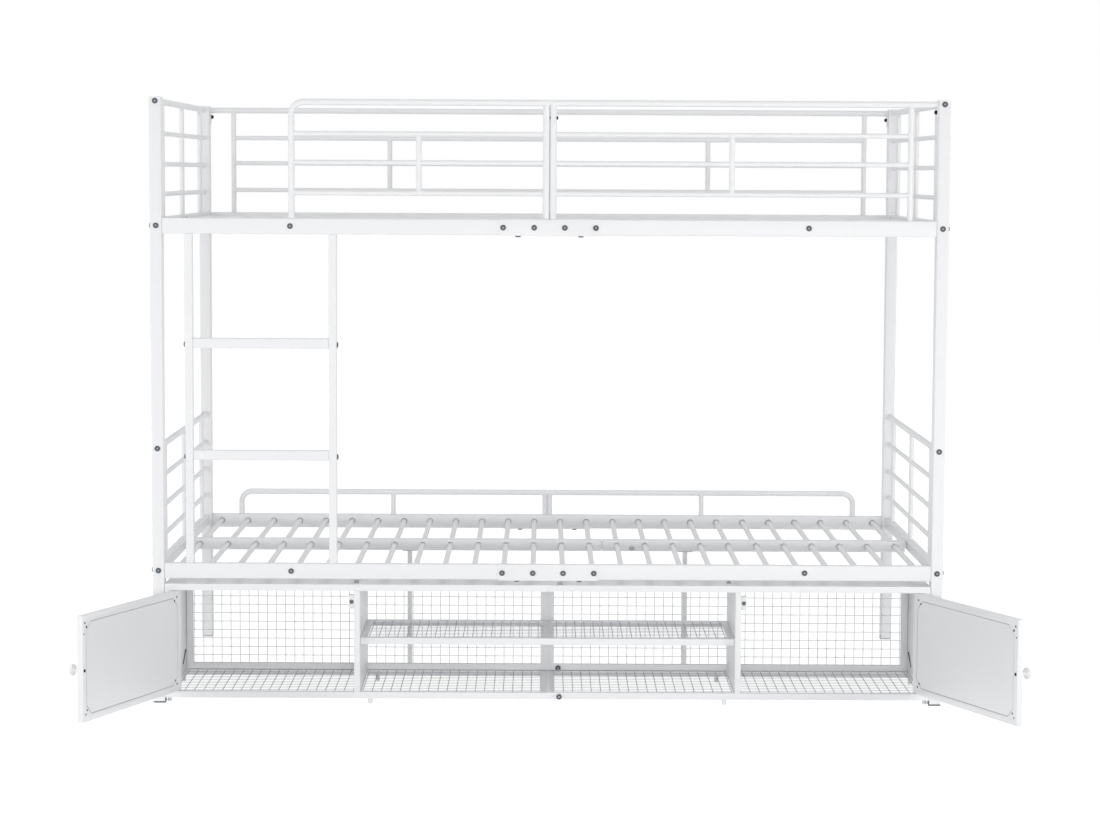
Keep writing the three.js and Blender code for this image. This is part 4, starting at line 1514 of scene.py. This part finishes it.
    def build(self) -> None:
        """Builds what hangs on and beside the doors."""
        panel, groove_shade = self.octagon(self.panel_steps), self.octagon(self.groove_shade_steps)
        for side, end in ENDS:
            body = f"{end}_door"
            add_rounded(f"door_{end}", f"folded_door_{end}", body)
            add_piece(f"door_panel_{end}", self.hung(side, panel), POWDER_COAT, body)
            knob = self.hung(side, self.knob())
            add_piece(f"turned_knob_{end}", knob, WHITE_PLASTIC, body, (f"knob_{end}",), self.knob_sharp)
            # A grey plate under the groove round the back panel: painted shade.
            add_piece(f"door_groove_shade_{end}", self.hung(side, groove_shade), GROOVE_SHADE, body)
            # Darkened screw heads: painted shade for the dark dots at the corners.
            add_piece(f"door_screws_{end}", self.hung(side, self.small_screws()), SHADED_ZINC, body)
            # Black plugs and screw: painted shade of the door's holes.
            add_piece(f"door_hole_shade_{end}", self.hung(side, self.hole_shade_marks()), BLACK_STEEL_AND_SHADE, body)
            for place in ("top", "bottom"):
                node = f"hinge_pin_{end}_{place}"
                add_rounded(node, f"headed_{node}", fold=self.pin_fold, finish=BRIGHT_ZINC)
            add_rounded(f"catch_{end}", f"moulded_catch_{end}", fold=self.catch_fold, finish=WHITE_PLASTIC)
            add_rounded(f"magnet_{end}", f"plated_magnet_{end}", fold=self.magnet_fold, finish=MAGNET)


@dataclass
class Fasteners:
    """Button-head bolts, hex nuts and spacers of the frame and the cabinet.

    Shares are of a part's radius and levels of its height. A socket floor's rises are counted from the bottom
    of the socket, a stub's from the top of its nut, and a collar's or a tip's from its own place.
    """

    head_size: float = 14.2
    head_height: float = 3.6
    head_shares: tuple[float, ...] = (0.0, 0.98, 1.0, 0.98, 0.87, 0.68)
    head_levels: tuple[float, ...] = (0.0, 0.0, 0.11, 0.4, 0.74, 0.94, 1.0, 0.94)
    socket_size: float = 5.0
    socket_depth: float = 2.1
    socket_lip: float = 0.3
    floor_share: float = 0.49
    floor_rises: tuple[float, ...] = (-0.1, -0.1, 0.25, 0.3)
    nut_size: float = 11.6
    nut_height: float = 5.2
    nut_shares: tuple[float, ...] = (0.0, 0.93, 1.0, 1.0, 0.88, 0.0)
    nut_levels: tuple[float, ...] = (0.0, 0.0, 0.08, 0.85, 1.0, 1.0)
    stub_shares: tuple[float, ...] = (0.0, 0.5, 0.5, 0.4, 0.0)
    stub_rises: tuple[float, ...] = (-0.1, -0.1, 1.2, 1.7, 1.7)
    collar_radii: tuple[float, ...] = (0.0, 4.4, 4.6, 4.6, 4.4, 0.0)
    collar_rises: tuple[float, ...] = (-0.6, -0.6, -0.48, 0.48, 0.6, 0.6)
    tip_radii: tuple[float, ...] = (0.0, 3.9, 4.2, 4.2, 3.6, 0.0)
    tip_rises: tuple[float, ...] = (-1.4, -1.4, -1.0, 2.2, 2.6, 2.6)
    end_x: float = 990.0
    end_y: float = 492.0
    post_x: float = 975.0
    post_y: float = 510.0
    post_z: tuple[float, ...] = (335.3, 642.3, 1197.5, 1504.5)
    rail_x: float = 643.0
    rail_y: float = 508.0
    rail_z: tuple[float, ...] = (335.3, 1197.3)
    splice_x: tuple[float, ...] = (38.0, 115.0)
    splice_y: float = 509.8
    splice_z: tuple[float, ...] = (332.6, 1196.0)
    lip_x: float = 78.0
    lip_y: float = 501.0
    lip_z: tuple[float, ...] = (313.5, 1175.7)
    guard_x: float = 17.7
    guard_y: float = 496.0
    guard_z: float = 1467.0
    ear_x: float = 957.2
    ear_z: float = 1485.0
    stile_x: Pair = (-906.3, -528.3)
    stile_y: float = -493.0
    stile_z: tuple[float, ...] = (621.6, 902.0)
    mid_rail: Pair = (226.0, -15.0)
    mid_rail_z: tuple[float, ...] = (328.5, 1190.7)
    cabinet_bolts: tuple[Point, ...] = ((28.6, -205.2, 37.3), (29.5, -510.0, 19.3))
    cabinet_nuts: tuple[Point, ...] = (
        (-481.0, -478.0, 302.2), (457.0, -461.0, 302.2), (30.0, -501.0, 302.2), (29.0, -213.0, 29.8),
    )

    def head(self) -> Surface:
        """A button head.

        Returns:
            The head with the round wall of its socket in the middle.
        """
        rim, rise, hole = self.head_size / 2, self.head_height, self.socket_size / 2
        radii = [rim * share for share in self.head_shares] + [hole + self.socket_lip, hole, hole, 0.0]
        heights = [rise * level for level in self.head_levels] + [rise - self.socket_depth] * 2
        return revolved(radii, heights, ROD_SIDES)

    def socket_floor(self) -> Surface:
        """The bright floor of a head's hexagon socket."""
        floor, reach = self.head_height - self.socket_depth, self.socket_size * self.floor_share
        return revolved((0.0, reach, reach, 0.0), [floor + rise for rise in self.floor_rises], HEX_SIDES)

    def nut(self) -> Surface:
        """A hex nut on its bolt.

        Returns:
            The nut with eased corners, and the bolt's end.
        """
        reach, top = self.nut_size / 2, self.nut_height
        body_heights = [top * level for level in self.nut_levels]
        stub_heights = [top + rise for rise in self.stub_rises]
        body = revolved([reach * share for share in self.nut_shares], body_heights, HEX_SIDES)
        stub = revolved([reach * share for share in self.stub_shares], stub_heights, SCREW_SIDES)
        return joined([body, stub])

    def spacers(self) -> Surface:
        """What joins the guards' middle uprights, at the front and at the rear.

        Returns:
            Short collars between the uprights, and the ends of the bolts through them.
        """
        collar = revolved(self.collar_radii, self.collar_rises, HOLE_SIDES)
        tip = revolved(self.tip_radii, self.tip_rises, SCREW_SIDES)
        return joined([
            placed(part, [(Facing.RIGHT, x, face * self.guard_y, self.guard_z) for face in (-1, 1)])
            for part, x in ((collar, 0.0), (tip, self.guard_x))
        ])

    def bolt_places(self) -> list[Place]:
        """Finds where the bolts with darkened heads stand.

        Returns:
            The places of their heads and the way that each faces.
        """
        places = []
        for face, way in ((-1, Facing.FRONT), (1, Facing.REAR)):
            for side, out in ((-1, Facing.LEFT), (1, Facing.RIGHT)):
                places += [(way, side * self.post_x, face * self.post_y, z) for z in self.post_z]
                places += [(out, side * self.end_x, face * self.end_y, z) for z in self.rail_z]
                places += [(way, side * self.rail_x, face * self.rail_y, z) for z in self.rail_z]
                for x in self.splice_x:
                    places += [(way, side * x, face * self.splice_y, z) for z in self.splice_z]
                places += [(Facing.DOWN, side * self.lip_x, face * self.lip_y, z) for z in self.lip_z]
        for x, way in zip(self.stile_x, (Facing.LEFT, Facing.RIGHT)):
            places += [(way, x, self.stile_y, z) for z in self.stile_z]
        return places + [(Facing.FRONT, *place) for place in self.cabinet_bolts]

    def mid_rail_places(self) -> list[Place]:
        """Where the heads of the mid rails' bolts stand and which way they face."""
        return [(Facing.FRONT, *self.mid_rail, z) for z in self.mid_rail_z]

    def nut_places(self) -> list[Place]:
        """Where the cabinet's nuts stand and which way they face."""
        return [(Facing.UP, *place) for place in self.cabinet_nuts]

    def ear_places(self) -> list[Place]:
        """Where the nuts of the guards' ears stand and which way they face."""
        places = [(Facing.LEFT, self.ear_x, face * self.guard_y, self.ear_z) for face in (-1, 1)]
        return places + [(Facing.RIGHT, -self.ear_x, self.guard_y, self.ear_z)]

    def build(self) -> None:
        """Builds the fasteners, one piece for each kind and finish."""
        bolts, pale_bolts = self.bolt_places(), self.mid_rail_places()
        # The darkened zinc paints a dark reflection on the heads' rims; the mid rails' heads are left bright.
        add_piece("button_heads", placed(self.head(), bolts), SHADED_ZINC)
        add_piece("mid_rail_heads", placed(self.head(), pale_bolts), BRIGHT_ZINC)
        add_piece("socket_floors", placed(self.socket_floor(), bolts + pale_bolts), BRIGHT_ZINC)
        add_piece("hex_nuts", placed(self.nut(), self.nut_places()), BRIGHT_ZINC)
        add_piece("ear_nuts", placed(self.nut(), self.ear_places()), BLACK_STEEL_AND_SHADE)
        add_piece("guard_spacers", self.spacers(), BLACK_STEEL_AND_SHADE)


@dataclass(frozen=True)
class SoftBox:
    """A square lamp: its name, its place and side in metres, and its power in watts."""

    name: str
    place: Point
    size: float
    power: float


@dataclass
class Studio:
    """A white sweep, a soft overcast light and the camera that took the photograph.

    The camera's focal length is in pixels and its turn in radians. The soft boxes, and the point that they
    are turned to, are in metres.
    """

    focal: float = 2727.39
    image_width: float = 1100.0
    sensor: float = 36.0
    clip_end: float = 100.0
    place: Point = (-17.62, -7278.79, 1329.88)
    yaw: float = 0.0031
    pitch: float = 0.0872
    roll: float = 0.0048
    sky: float = 0.41
    floor_reach: float = 14000.0
    floor_z: float = -0.4
    floor_tone: str = "#f5f5f5"
    floor_glow: float = 1.2
    floor_share: float = 0.88
    aim: Point = (0.0, 0.0, 0.7)
    soft_boxes: tuple[SoftBox, ...] = (
        SoftBox("front_soft_box", (0.2, -6.2, 0.8), 1.5, 74.0),
        SoftBox("left_soft_box", (-4.4, -3.0, 1.1), 2.0, 71.0),
        SoftBox("right_soft_box", (4.4, -3.0, 1.1), 2.0, 71.0),
        SoftBox("top_soft_box", (0.2, -0.8, 4.6), 2.6, 8.0),
    )

    def stand(self, thing: bpy.types.Object, right: Array, back: Array, place: Values) -> None:
        """Turns a camera or lamp and moves it to its place.

        Args:
            thing: The camera or lamp, which looks away from its own Z.
            right: Direction of its own X.
            back: Direction of its own Z.
            place: Its place in metres.
        """
        matrix = Matrix(np.stack((right, np.cross(back, right), back), axis=-1).tolist()).to_4x4()
        matrix.translation = place
        thing.matrix_world = matrix

    def camera(self) -> None:
        """Sets the camera from its solved place, turn and focal length in pixels."""
        forward = np.array((
            math.sin(self.yaw) * math.cos(self.pitch), math.cos(self.yaw) * math.cos(self.pitch),
            -math.sin(self.pitch),
        ))
        right = np.array((math.cos(self.yaw), -math.sin(self.yaw), 0.0))
        turned_right = math.cos(self.roll) * right + math.sin(self.roll) * np.cross(right, forward)
        data = bpy.data.cameras.new("camera")
        data.sensor_fit = "HORIZONTAL"
        data.sensor_width = self.sensor
        data.lens = self.focal / self.image_width * self.sensor
        data.clip_end = self.clip_end
        viewer = add_object("camera", data)
        self.stand(viewer, turned_right, -forward, [value * METRES for value in self.place])
        bpy.context.scene.camera = viewer

    def shown_rays(self, tree: bpy.types.NodeTree) -> bpy.types.NodeSocket:
        """Adds a value that is one for camera, glossy and transmission rays, and nought for the rest.

        Args:
            tree: The node tree.

        Returns:
            The value's socket.
        """
        path = add_node(tree, "ShaderNodeLightPath")
        first = add_node(tree, "ShaderNodeMath", {"operation": "MAXIMUM"}, {
            0: path.outputs["Is Camera Ray"], 1: path.outputs["Is Glossy Ray"],
        })
        both = add_node(tree, "ShaderNodeMath", {"operation": "MAXIMUM"}, {
            0: first.outputs[0], 1: path.outputs["Is Transmission Ray"],
        })
        return both.outputs[0]

    def world(self) -> None:
        """White for what sees it directly, and a softer level for the light that it gives."""
        world = bpy.data.worlds.new("studio")
        tree = emptied_tree(world)
        strength = add_node(tree, "ShaderNodeMapRange", {}, {
            "Value": self.shown_rays(tree), "To Min": self.sky, "To Max": 1.0,
        })
        sky = add_node(tree, "ShaderNodeBackground", {}, {
            "Color": linear("#ffffff"), "Strength": strength.outputs[0],
        })
        add_node(tree, "ShaderNodeOutputWorld", {}, {"Surface": sky.outputs[0]})
        bpy.context.scene.world = world

    def floor(self) -> None:
        """A wide white floor that keeps a faint shadow of the bed."""
        reach, level = self.floor_reach, self.floor_z
        corners = np.array((
            (-reach, -reach, level), (reach, -reach, level), (reach, reach, level), (-reach, reach, level),
        ))
        mesh = bpy.data.meshes.new("floor")
        mesh.from_pydata((corners * METRES).tolist(), [], [(0, 1, 2, 3)])
        material = bpy.data.materials.new("white_studio_floor")
        tree = emptied_tree(material)
        diffuse = add_node(tree, "ShaderNodeBsdfDiffuse", {}, {"Color": linear(self.floor_tone)})
        glow = add_node(tree, "ShaderNodeEmission", {}, {
            "Color": linear("#ffffff"), "Strength": self.floor_glow,
        })
        share = add_node(tree, "ShaderNodeMath", {"operation": "MULTIPLY"}, {
            0: self.shown_rays(tree), 1: self.floor_share,
        })
        mix = add_node(tree, "ShaderNodeMixShader", {}, {
            0: share.outputs[0], 1: diffuse.outputs[0], 2: glow.outputs[0],
        })
        add_node(tree, "ShaderNodeOutputMaterial", {}, {"Surface": mix.outputs[0]})
        mesh.materials.append(material)
        ground = add_object("floor", mesh)

    def lamp(self, box: SoftBox) -> None:
        """Adds a lamp that is turned towards the middle of the bed.

        Args:
            box: The soft box.
        """
        data = bpy.data.lights.new(box.name, "AREA")
        data.shape = "SQUARE"
        data.size = box.size
        data.energy = box.power
        lamp = add_object(box.name, data)
        back = np.array(box.place) - np.array(self.aim)
        back /= np.linalg.norm(back)
        right = np.cross((0.0, 0.0, 1.0), back)
        self.stand(lamp, right / np.linalg.norm(right), back, box.place)
        # No glossy face shows the lamp: it shows the white backdrop alone, as the photograph's paint does.
        lamp.visible_glossy = False

    def build(self) -> None:
        """Sets the camera, the world, the floor and the lamps."""
        self.camera()
        self.world()
        self.floor()
        for box in self.soft_boxes:
            self.lamp(box)
        bpy.context.scene.view_settings.view_transform = "Standard"


def main() -> None:
    """Builds the bed piece by piece, then the studio."""
    logging.basicConfig(level=logging.INFO, format="%(name)s: %(message)s")
    for assembly in (
        CornerPosts(), EndPanels(), HalfDecks(), SplicePlates(), Guards(), Ladder(), CentreLegs(), Cabinet(),
        WireNets(), Doors(), Fasteners(), Studio(),
    ):
        log.info("building %s", type(assembly).__name__)
        assembly.build()


if __name__ == "__main__":
    main()
